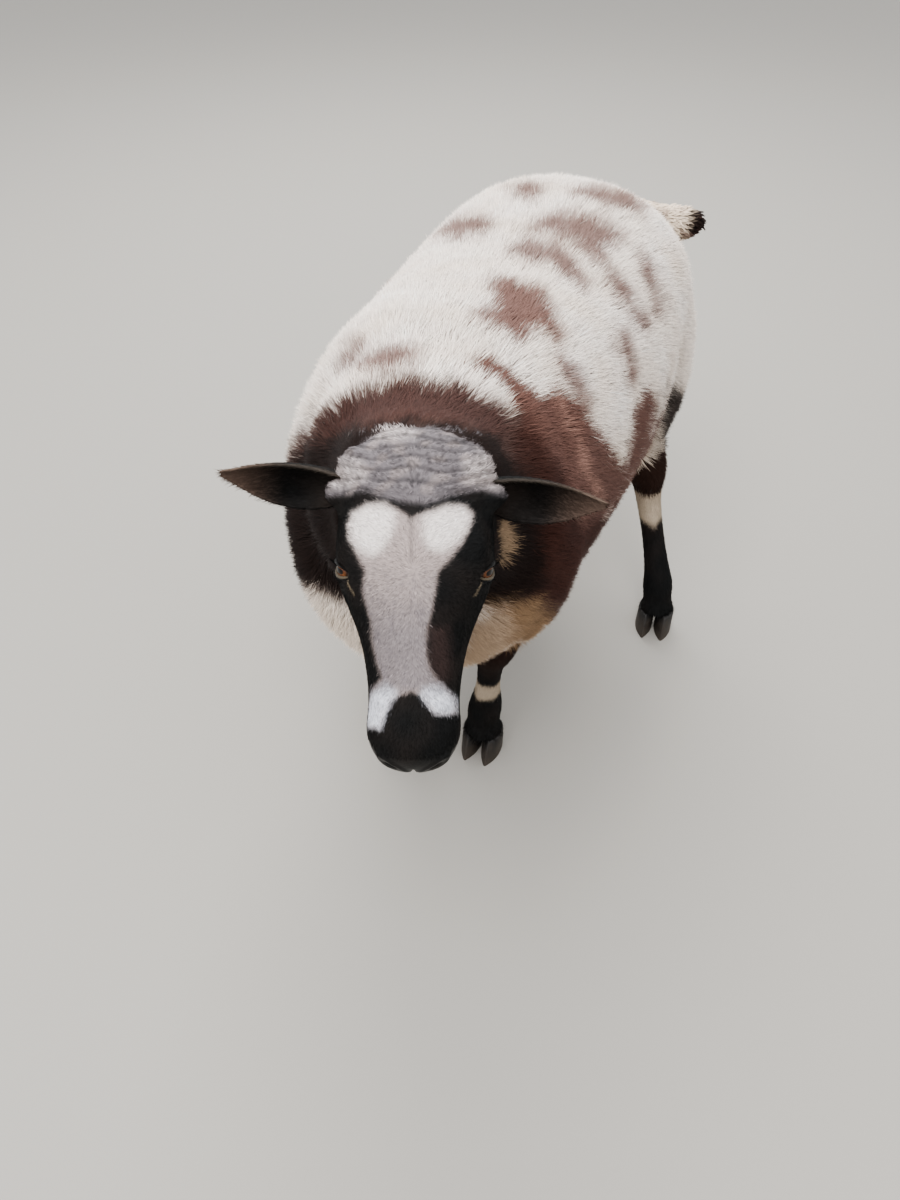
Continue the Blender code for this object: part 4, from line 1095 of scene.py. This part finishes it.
# ---- The fleece. Short, dense, fine wool stands about 1.5 cm deep over the trunk, neck and tail. It
# leans back and down, and neighbouring locks close together into staples. It is thin towards the
# poll and in the groin.
corners = np.empty(len(skin_mesh.polygons) * 3, np.int32)
skin_mesh.polygons.foreach_get("vertices", corners)
corners = corners.reshape(-1, 3)
edge_a = places[corners[:, 1]] - places[corners[:, 0]]
edge_b = places[corners[:, 2]] - places[corners[:, 0]]
area = np.linalg.norm(np.cross(edge_a, edge_b), axis=1) / 2
corner_part = part[corners[:, 0]]
FINE = (0.0, 1.0)  # a fine lock runs straight from its root to its tip
CURVED = (0.0, 0.6, 1.0)
LOCK_FLAT = 0.65  # a lock's thickness over its width
CHART_PATCH = 0.0015  # half the side of each lock's patch on its piece's unwrap


def at_roots(values, pick, weights):
    """Values of the skin's points, carried to the roots by each corner's weight."""
    mine = values[corners[pick]]
    return (mine * (weights[..., None] if mine.ndim == 3 else weights)).sum(axis=1)


def unit(ways):
    """Directions at length 1."""
    return ways / np.maximum(np.linalg.norm(ways, axis=-1, keepdims=True), 1e-9)


def cells(points, size):
    """A number for the cube in which each point lies, in a grid of cubes."""
    x, y, z = np.floor(points / size + 200).astype(np.int64).T
    return (x * 4096 + y) * 4096 + z


def rooted(chosen, gap, seed):
    """Roots over chosen triangles, strewn by area and thinned to one in each cube of a grid.

    Gives each root's triangle and weights, its place, the way out there, and the next draws.
    """
    draw = np.random.default_rng(seed)
    share = np.cumsum(area * chosen)
    pick = np.searchsorted(share, draw.uniform(0, share[-1], int(share[-1] / gap**2 * 7)))
    pick = np.minimum(pick, len(area) - 1)
    first, second = draw.random((2, len(pick)))
    over = first + second > 1
    first, second = np.where(over, 1 - first, first), np.where(over, 1 - second, second)
    weights = np.stack((1 - first - second, first, second), axis=1)
    _, kept = np.unique(cells(at_roots(places, pick, weights), gap), return_index=True)
    kept.sort()
    pick, weights = pick[kept], weights[kept]
    out = unit(at_roots(outward, pick, weights))
    return pick, weights, at_roots(places, pick, weights), out, np.random.default_rng(seed + 1)


def shown(roots, out, lie, length, stand):
    """Where the part of each lock that shows is, half its length out from its root along its lie."""
    flatway = unit(lie - out * (lie * out).sum(1)[:, None])
    way = flatway * np.cos(stand)[:, None] + out * np.sin(stand)[:, None]
    return roots + 0.52 * length[:, None] * way


def locks(
    name, roots, out, lie, length, width, stand, colour, chart, seed,
    pull=0.0, bend=0.25, vary=0.05, steps=FINE,
):
    """Tapering three-sided locks in one mesh.

    A lock starts at an angle stand to the skin and bends over towards it, piece by piece, where its
    steps are more than one; pull moves its tip sideways, bend turns it about, and vary makes it
    lighter or darker. The chart is the place of each root on the skin's unwrap.
    """
    draw = np.random.default_rng(seed)
    count, rings, each = len(roots), len(steps) - 1, (len(steps) - 1) * 3 + 1
    length, width, stand = (np.broadcast_to(v, count) for v in (length, width, stand))
    steps = np.array(steps)
    lie = unit(lie - out * (lie * out).sum(1)[:, None])
    side = np.cross(out, lie)
    swing = draw.normal(0, bend, count)
    path = [roots - out * (0.0001 + 0.05 * length)[:, None]]
    for t, step in zip((steps[:-1] + steps[1:]) / 2, np.diff(steps)):
        tilt = stand * (1.25 - 0.9 * t)
        turn = swing * t * 1.6
        flatway = lie * np.cos(turn)[:, None] + side * np.sin(turn)[:, None]
        way = flatway * np.cos(tilt)[:, None] + out * np.sin(tilt)[:, None]
        path.append(path[-1] + way * (length * step)[:, None])
    moved = np.broadcast_to(pull, roots.shape)[:, None] * (steps[:, None] ** 1.5)
    path = np.stack(path, axis=1) + moved

    ways = unit(np.diff(path, axis=1))
    across = unit(np.cross(ways, out[:, None]))
    over = np.cross(across, ways)
    taper = np.interp(steps[:-1], (0, 0.35, 1.0), (0.85, 1.0, 0.55))
    thick = width[:, None, None, None] * taper[:, None, None]
    angle = math.pi / 2 + np.arange(3) * 2 * math.pi / 3
    wide, high = np.cos(angle)[:, None] * across[:, :, None], np.sin(angle)[:, None]
    tube = path[:, :-1, None] + thick * (wide + LOCK_FLAT * high * over[:, :, None])
    points = np.concatenate((tube.reshape(count, -1, 3), path[:, -1:]), axis=1)

    i = np.arange(3)
    j = (i + 1) % 3
    low = (np.arange(rings - 1) * 3)[:, None]
    last = (rings - 1) * 3
    walls = np.concatenate(
        (
            np.stack((low + i, low + j, low + 3 + j), axis=2).reshape(-1, 3),
            np.stack((low + i, low + 3 + j, low + 3 + i), axis=2).reshape(-1, 3),
            np.stack((last + i, last + j, np.full(3, each - 1)), axis=1),
            np.array([[2, 1, 0]]),
        )
    )
    triangles = (walls[None, :, ::-1] + (np.arange(count) * each)[:, None, None]).reshape(-1, 3)
    made = bpy.data.meshes.new(name)
    made.vertices.add(count * each)
    made.vertices.foreach_set("co", points.astype(np.float32).ravel())
    made.loops.add(triangles.size)
    made.loops.foreach_set("vertex_index", triangles.astype(np.int32).ravel())
    made.polygons.add(len(triangles))
    made.polygons.foreach_set("loop_start", np.arange(0, triangles.size, 3, dtype=np.int32))
    made.update(calc_edges=True)
    made.shade_smooth()
    ring_out = (wide + high * over[:, :, None]).reshape(count, -1, 3)
    normals = np.concatenate((ring_out, over[:, -1:]), axis=1) * 0.40 + out[:, None]
    made.normals_split_custom_set_from_vertices(unit(normals).reshape(-1, 3))

    # Painted shade: each lock is darker towards its root, and its tip is a little lighter.
    deep = np.append(np.repeat(np.interp(steps[:-1], (0, 0.3, 1), (0.74, 0.93, 1.0)), 3), 1.02)
    bright = np.exp(draw.normal(0, vary, count))[:, None, None]
    shade = np.broadcast_to(colour, (count, 3))[:, None] * (deep[:, None] * bright)
    give_colour(made, np.clip(shade.reshape(-1, 3), 0, 0.95))
    patch_u = np.append(np.tile((-1, 0, 1), rings), 0) * CHART_PATCH
    patch_v = np.append(np.repeat(np.linspace(-1, 0.7, rings), 3), 1) * CHART_PATCH
    spots = np.stack((chart[:, :1] + patch_u, chart[:, 1:] + patch_v), axis=2).reshape(-1, 2)
    layer = made.uv_layers.new(name="OFBake")
    layer.data.foreach_set("uv", spots[triangles.ravel()].astype(np.float32).ravel())
    return linked(name, made)


def round_of(first, second):
    """A full turn's angle as 0 to 1."""
    return (np.arctan2(first, second) / (2 * math.pi) + 0.5) % 1.0


def fitted(chart):
    """Places on an unwrap, spread to fill it."""
    low, high = chart.min(axis=0), chart.max(axis=0)
    return 0.01 + 0.98 * (chart - low) / (high - low)


def coat_finish(name, fine, sheen, rough):
    """Fibre: colour from the piece, broken by fine noise that also raises it."""
    made = Finish(name, Sheen_Weight=sheen, Sheen_Roughness=0.5, Specular_IOR_Level=0.12)
    spot = made.node("TexCoord", {}, {}, "Object")
    tone = made.node("Attribute", {"attribute_name": "tint"}, {}, "Color")
    noise = {"Vector": spot, "Detail": 3.0}
    fibre = made.node("TexNoise", {}, {**noise, "Scale": fine, "Roughness": 0.7}, "Fac")
    patch = made.node("TexNoise", {}, {**noise, "Scale": 60.0}, "Fac")
    raised = made.node("Bump", {}, {"Height": fibre, "Strength": 0.5, "Distance": 0.0008}, "Normal")
    made.feed(
        Base_Color=tone * between(fibre, 0.62, 1.30) * between(patch, 0.90, 1.10),
        Roughness=between(fibre, rough - 0.1, rough + 0.1),
        Normal=raised,
    )
    return made.material


wool_finish = coat_finish("wool", 900.0, 0.05, 0.9)
LIE = np.array((0.0, 1.0, -0.55))  # back and down
NECK_WAY = np.array((0.22, -0.93, 0.30))
NECK_END = np.array((0.050, -0.418, 0.618))
GROIN, GROIN_SHAPE = (0, 0.215, 0.355), (1.3, 1.0, 0.8)
WOOL_GAP, STAPLE = 0.00222, 0.017  # from root to root, and across a staple
WOOL_LONG, WOOL_STAND, WOOL_WIDE = 2.15, 31, 0.00150  # in depths of the wool, degrees, half width
TRUNK_MIDDLE, TRUNK_HALF = (-0.008, -0.02, 0.50), (0.21, 0.42, 0.22)


def wool_depth(points):
    """The fleece's depth: full over the trunk, and thin towards the poll and in the groin."""
    plain = points - SHIFT
    fade = 1 - rise((plain - NECK_END) @ NECK_WAY, -0.075, -0.016)
    groin = rise(np.linalg.norm((plain - GROIN) / GROIN_SHAPE, axis=1), 0.05, 0.115)
    return WOOL * np.clip(fade * (0.30 + 0.70 * groin), 0.25, 1)


_, _, roots, out, draw = rooted(corner_part == BODY, WOOL_GAP, 21)
some = len(roots)
deep = wool_depth(roots)
_, group = np.unique(cells(roots, STAPLE), return_inverse=True)
group = group.ravel()
staples = group.max() + 1
middle = np.stack([np.bincount(group, roots[:, k]) for k in range(3)], axis=1)
middle /= np.bincount(group)[:, None]
sway = draw.normal(0, 0.15, (staples, 3))
lie = unit(LIE + sway[group] + draw.normal(0, 0.10, (some, 3)))
pull = (middle[group] - roots) * 0.12 * (deep / WOOL)[:, None]
length = deep * WOOL_LONG * draw.uniform(0.90, 1.10, some) * (0.94 + 0.12 * draw.random(staples)[group])
stand = np.radians(draw.normal(WOOL_STAND, 4, some)) * np.clip(deep / WOOL, 0.5, 1)
width = WOOL_WIDE * draw.uniform(0.8, 1.2, some) * (0.6 + 0.4 * deep / WOOL)
colour = paint(shown(roots, out, lie, length, stand), out, BODY, loose=1.2)
x, y, z = ((roots - SHIFT - TRUNK_MIDDLE) / TRUNK_HALF).T
chart = np.stack((round_of(x, -z), np.arctan2(np.hypot(x, z), -y) / math.pi), axis=1)
wool_pieces = []
for side_name, mine in (("left", chart[:, 0] >= 0.5), ("right", chart[:, 0] < 0.5)):
    cuts = np.quantile(chart[mine, 1], (0, 1 / 3, 2 / 3, 1))
    for number, place_name in enumerate(("front", "middle", "back")):
        here = mine & (chart[:, 1] >= cuts[number]) & (chart[:, 1] < cuts[number + 1] + (number == 2))
        wool_pieces.append(
            locks(
                f"wool_{place_name}_{side_name}", roots[here], out[here], lie[here], length[here],
                width[here], stand[here], colour[here], fitted(chart[here]), 30 + number,
                pull=pull[here], vary=0.10,
            )
        )

TAIL_GAP, TAIL_LONG, TAIL_WIDE = 0.0040, 0.015, 0.0022
TAIL_HEIGHT = 0.617
_, _, roots, out, draw = rooted(corner_part == TAIL_PART, TAIL_GAP, 41)
some = len(roots)
colour = paint(roots, out, TAIL_PART)
lie = unit(np.array((0.9, 0.35, -0.25)) + draw.normal(0, 0.25, (some, 3)))
chart = np.stack((round_of(roots[:, 2] - SHIFT[2] - TAIL_HEIGHT, out[:, 1]), roots[:, 0]), axis=1)
length = TAIL_LONG * draw.uniform(0.8, 1.2, some)
stand = np.radians(draw.normal(30, 5, some))
wool_pieces.append(
    locks(
        "wool_tail", roots, out, lie, length, TAIL_WIDE, stand, colour, fitted(chart), 43,
        steps=CURVED,
    )
)
for piece in wool_pieces:
    piece.data.materials.append(wool_finish)
    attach(piece, "root")

# ---- The short hair of the face, ears, legs and scrotum. It lies flat and follows the form: out from
# the middle of the face, down the nose, back over the cheeks, down the legs and out along the ears.
hair_finish = coat_finish("hair", 1400.0, 0.0, 0.6)
FACE_GAP, EAR_GAP, LEG_GAP = 0.00162, 0.0018, 0.0029  # from root to root
FACE_WIDE, EAR_WIDE, LEG_WIDE = 0.00050, 0.00060, 0.00082  # half widths of the tufts
FACE_LONG, CAP_SHORTER, BUNCH_LONGER = 0.0052, 0.0004, 0.0022
EAR_LONG, EAR_HOLLOW_LONG = 0.0055, 0.0085
LEG_LONG, THIGH_LONGER, HEM_LONGER = 0.0068, 0.009, 0.006  # the hem hangs over the hooves
LASH_LONG, LASH_WIDE = 0.0085, 0.00022
centroid = places[corners].mean(axis=1)
clear = np.full(len(centroid), True)  # of the eyes
for way in (1, -1):
    *_, far, _, opening = round_eye(centroid, way)
    clear &= (far >= 0.021) | (opening > 1.05)
face_here = (corner_part == HEAD_PART) & (bare[corners].mean(axis=1) < 0.5) & clear
_, _, roots, out, draw = rooted(face_here, FACE_GAP, 51)
some = len(roots)
along, side, up = in_head(roots)
front = rise(up, -0.075, -0.030)
way_along = front * (-0.45 + 1.35 * rise(along, 0.07, 0.13)) - 0.8 * (1 - front)
way_side = front * np.tanh(side / 0.012) * (0.85 - 0.5 * rise(along, 0.18, 0.25))
lie = np.stack((way_side, -0.7 * (1 - front), way_along), axis=1) @ HEAD_TURN
lie += 0.25 * np.stack([ripple(roots, 0.02, 60 + k) for k in range(3)], axis=1)
lie += draw.normal(0, 0.12, (some, 3))
bunch = np.zeros(some)
for outline in CAP_PATCHES:
    bunch = np.maximum(bunch, rise(within(seen(roots), outline), -4, 4))
cap = rise(-along, -0.045, -0.030)
length = (FACE_LONG - CAP_SHORTER * cap + BUNCH_LONGER * bunch) * draw.uniform(0.75, 1.25, some)
stand = np.radians(draw.normal(12, 3, some) + 9 * bunch)
width = FACE_WIDE * draw.uniform(0.8, 1.2, some) * (1 + 0.3 * bunch)
colour = paint(shown(roots, out, lie, length, stand), out, HEAD_PART, loose=1.6)
chart = np.stack((round_of(side, -(up + 0.06)), (along + 0.05) / 0.34), axis=1)
hair_pieces = []
for name, mine in (("left", side >= 0), ("right", side < 0)):
    hair_pieces.append(
        locks(
            f"hair_face_{name}", roots[mine], out[mine], lie[mine], length[mine], width[mine],
            stand[mine], colour[mine], fitted(chart[mine]), 53, bend=0.3, vary=0.32,
        )
    )

pick, weights, roots, out, draw = rooted(corner_part == EAR, EAR_GAP, 61)
some = len(roots)
along_ear, across_ear, inner = (at_roots(v, pick, weights) for v in (ear_along, ear_across, ear_inner))
colour = paint(roots, out, EAR, 0, along_ear, across_ear, inner)
which = at_roots(ear_side, pick, weights) > 0.5
inner = inner > 0.5
lie = np.where(which[:, None], tip_of(-1), tip_of(1)) + draw.normal(0, 0.22, (some, 3))
length = np.where(inner, EAR_HOLLOW_LONG, EAR_LONG) * draw.uniform(0.7, 1.2, some)
stand = np.radians(draw.normal(17, 5, some))
turn = 0.25 * (1 + across_ear)
chart = np.stack(((which + 0.02 + 0.96 * np.where(inner, 1 - turn, turn)) / 2, along_ear), axis=1)
hair_pieces.append(
    locks("hair_ears", roots, out, lie, length, EAR_WIDE, stand, colour, fitted(chart), 63)
)

pick, _, roots, out, draw = rooted((corner_part == LEG) | (corner_part == POUCH), LEG_GAP, 71)
some = len(roots)
kind, which = corner_part[pick], limb[corners[pick, 0]]
colour = paint(roots, out, kind, which)
lie = np.array((0.0, 0.15, -1.0)) + draw.normal(0, 0.15, (some, 3))
x, y, z = (roots - SHIFT).T
high = rise(z, 0.20, 0.33) * (kind == LEG)
hem = 1 - rise(z, 0.046, 0.066)
length = (LEG_LONG + THIGH_LONGER * high + HEM_LONGER * hem) * draw.uniform(0.75, 1.25, some)
stand = np.radians(draw.normal(16, 4, some) + 18 * high + 8 * hem)
column = np.where(kind == POUCH, len(leg_paths), which)
middle = np.zeros((some, 2))
for number, path in enumerate([*leg_paths, pouch_path]):
    middle[column == number] = level_with(path, z[column == number])
turn = round_of(x - middle[:, 0], y - middle[:, 1])
chart = np.stack(((column + 0.02 + 0.96 * turn) / 5, z / 0.42), axis=1)
width = LEG_WIDE * (1 + high)
hair_pieces.append(locks("hair_legs", roots, out, lie, length, width, stand, colour, fitted(chart), 73))
for piece, slot_name in zip(hair_pieces, ("face", "face", "ears", "legs")):
    piece.data.materials.append(hair_finish)
    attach(piece, "root")

# ---- Eyes and lids. The amber iris, painted darker as painted shade from the lids, has a sheep's wide,
# level pupil under a wet cornea. Each lid is a rounded fold of skin round the slit, dark above and pale
# below, with short lashes above.
eye_finish = Finish("eye", Coat_Weight=0.5, Coat_Roughness=0.02, Roughness=0.35, Specular_IOR_Level=0.1)
tone = eye_finish.node("Attribute", {"attribute_name": "tint"}, {}, "Color")
spot = eye_finish.node("TexCoord", {}, {}, "Object")
thread = eye_finish.node("TexNoise", {}, {"Vector": spot, "Scale": 900.0, "Detail": 3.0}, "Fac")
eye_finish.feed(Base_Color=tone * between(thread, 0.75, 1.25))
lid_finish = coat_finish("lid", 1200.0, 0.1, 0.6)
# The iris's amber and brown are painted darker, as painted shade from the lids.
IRIS_BROWN, IRIS_AMBER, IRIS_RIM = rgb(66, 36, 20), rgb(104, 62, 31), rgb(44, 26, 15)
EYE_WHITE, PUPIL = rgb(70, 54, 46), rgb(6, 6, 8)
IRIS_EDGE = 0.78  # angle from the look to the iris's edge
PUPIL_LONG, PUPIL_HIGH = 0.62, 0.26  # of the iris's radius
LID_PROFILE = (  # beyond the slit, above the eyeball
    (0.0056, 0.0004), (0.0044, 0.0022), (0.0032, 0.0031), (0.0020, 0.0031), (0.0010, 0.0026),
    (0.0003, 0.0017), (0.0000, 0.0009), (0.0006, 0.0004), (0.0022, 0.0004), (0.0050, 0.0003),
)


def closed_piece(name, points, faces, colour=None):
    """A smooth piece of its own, closed, whose faces point outward."""
    made = mesh_of(name, points, faces)
    if colour is not None:
        give_colour(made, colour)
    made.shade_smooth()
    face_outward(made)
    return linked(name, made)


def looped(grid):
    """Faces of a band that is closed both ways: a grid whose rows each go round."""
    rows, around, _ = grid.shape
    i = np.arange(around)
    j = (i + 1) % around
    low = (np.arange(rows) * around)[:, None]
    high = ((np.arange(rows) + 1) % rows * around)[:, None]
    return np.stack((low + i, low + j, high + j, high + i), axis=2).reshape(-1, 4).tolist()


for way, side_name in ((1, "left"), (-1, "right")):
    turn, middle = eye_frame(way), eye_middle(way) + SHIFT
    fine_part, coarse_part = np.linspace(0.004, 1.1, 60), np.linspace(1.14, math.pi - 0.004, 40)
    swing = np.concatenate((fine_part, coarse_part))[:, None]
    round_it = np.arange(96) * 2 * math.pi / 96
    bulge = EYE_RADIUS * (1 + 0.03 * (1 - rise(swing, 0.55, 0.80)))  # the cornea stands proud
    ball = on_ball(bulge, swing, np.cos(round_it), np.sin(round_it))
    flat_x, flat_y = swing * np.cos(round_it) / IRIS_EDGE, swing * np.sin(round_it) / IRIS_EDGE
    radius = np.hypot(flat_x, flat_y)
    slot = 1 - rise((abs(flat_x) / PUPIL_LONG) ** 3 + (abs(flat_y) / PUPIL_HIGH) ** 3, 0.75, 1.2)
    streak = 0.5 + 0.5 * np.sin(round_it * 37 + 3 * np.sin(round_it * 11)) * rise(radius, 0.3, 0.6)
    iris = coloured(IRIS_BROWN, IRIS_AMBER, streak.ravel())
    iris = coloured(iris, IRIS_RIM, rise(radius, 0.80, 1.0).ravel())
    iris = coloured(iris, EYE_WHITE, rise(radius, 1.0, 1.12).ravel())
    iris = coloured(iris, PUPIL, slot.ravel())
    points, walls = closed((ball @ turn) + middle)
    eye = closed_piece(f"eyeball_{side_name}", points, walls, np.vstack((iris, PUPIL, iris[-1:])))
    eye.data.materials.append(eye_finish.material)
    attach(eye, "root")
    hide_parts(f"eye_{side_name}")

    around = np.arange(120) * 2 * math.pi / 120
    slit_x = LID_HALF[0] * np.cos(around)
    slit_y = LID_HALF[1] * np.sign(np.sin(around)) * abs(np.sin(around)) ** 1.25
    upper = rise(-np.sin(around) * way, -0.25, 0.15)
    grid = []
    for beyond, above in LID_PROFILE:
        grow_x = slit_x * (1 + beyond / LID_HALF[0])
        grow_y = slit_y + beyond * np.sin(around)
        arc = np.hypot(grow_x, grow_y)
        deep = EYE_RADIUS + above * (1 + 0.35 * upper)
        grid.append(on_ball(deep, arc / EYE_RADIUS, grow_x, grow_y, arc))
    grid = np.array(grid) @ turn + middle
    lid_colour = np.repeat(coloured(BEIGE * 0.20, BLACK, upper)[None], len(LID_PROFILE), axis=0)
    lid_colour[:4] = BLACK
    lid = closed_piece(f"lid_{side_name}", grid.reshape(-1, 3), looped(grid), lid_colour.reshape(-1, 3))
    lid.data.materials.append(lid_finish)
    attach(lid, "root")

    hang = np.flatnonzero(upper > 0.9)[4:-4:2]
    some = len(hang)
    outer = unit(grid[1][hang] - grid[6][hang])
    length = LASH_LONG * np.random.default_rng(81).uniform(0.7, 1.1, some)
    chart = np.stack((np.linspace(0.02, 0.98, some), np.full(some, 0.5)), axis=1)
    lashes = locks(
        f"lashes_{side_name}", grid[4][hang], outer, turn[2] + 0.5 * outer, length, LASH_WIDE, 0.5,
        BLACK, chart, 82, bend=0.15, steps=CURVED,
    )
    lashes.data.materials.append(hair_finish)
    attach(lashes, "root")

# ---- Hooves. Each foot has two claws of dull black horn, flat below and bulging a little from the
# hair's edge down. The horn grows in rings round the claw, and its lower part is dusty and paler.
horn = Finish("horn")
spot = horn.node("TexCoord", {}, {}, "Object")
height = horn.node("SeparateXYZ", {}, {"Vector": spot}, "Z")
cloud = horn.node("TexNoise", {}, {"Vector": spot, "Scale": 90.0, "Detail": 5.0}, "Fac")
fine = horn.node("TexNoise", {}, {"Vector": spot, "Scale": 900.0, "Detail": 3.0}, "Fac")
rings = horn.node("Math", {"operation": "SINE"}, {0: height * 1900.0 + cloud * 16.0})
raised = horn.node(
    "Bump", {}, {"Height": rings * 0.30 + fine, "Strength": 0.25, "Distance": 0.0005}, "Normal"
)
dust = between(cloud, 0.2, 1.6) - height * 22.0
HORN_BLACK, DUST = (*rgb(24, 21, 19), 1.0), (*rgb(84, 72, 60), 1.0)
dusty = horn.node(
    "Mix", {"data_type": "RGBA", "clamp_factor": True}, {0: dust * 0.4, 6: HORN_BLACK, 7: DUST}, 2
)
horn.feed(Base_Color=dusty, Roughness=between(cloud, 0.45, 0.75), Normal=raised)
HOOF_TOE, HOOF_HEEL, HOOF_HALF, HOOF_SPREAD = 0.041, 0.029, 0.0150, 0.0166
HOOF_LEVELS = (  # height, reach of the toe there, share of the full outline
    (0.0000, 1.00, 0.00), (0.0000, 1.00, 0.90), (0.0006, 1.00, 0.975), (0.0020, 0.99, 1.00),
    (0.0080, 0.94, 1.00), (0.0170, 0.865, 0.995), (0.0260, 0.80, 1.00), (0.0330, 0.715, 1.00),
    (0.0380, 0.655, 1.00), (0.0410, 0.62, 0.97), (0.0424, 0.60, 0.86), (0.0428, 0.58, 0.0),
)
angle = np.arange(56) * 2 * math.pi / 56
ahead = np.sin(angle)
pinch = 1 - 0.55 * np.maximum(ahead, 0) ** 3  # narrows the outline towards the toe
for name, foot in FEET.items():
    for side in (1, -1):
        claw = []
        for z, reach, full in through(HOOF_LEVELS, 40):
            slender = (1 - 0.14 * (1 - reach)) * full
            x = side * HOOF_SPREAD + HOOF_HALF * np.cos(angle) * pinch * slender
            y = -np.where(ahead > 0, HOOF_TOE * reach * full, HOOF_HEEL * slender) * ahead
            x, y = toed(x, y, foot[2])
            ring = np.stack((x + foot[0], y + foot[1], np.full(len(x), max(z, 0.0))), axis=1)
            claw.append(ring + SHIFT * (1, 1, 0))
        which = "outer" if (side > 0) == ("left" in name) else "inner"
        hoof = closed_piece(f"claw_{name}_{which}", *closed(np.array(claw)))
        hoof.data.materials.append(horn.material)
        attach(hoof, "root")
        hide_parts(f"hoof_{name}_{which}")

size = [[float(value) for value in corner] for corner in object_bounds()]
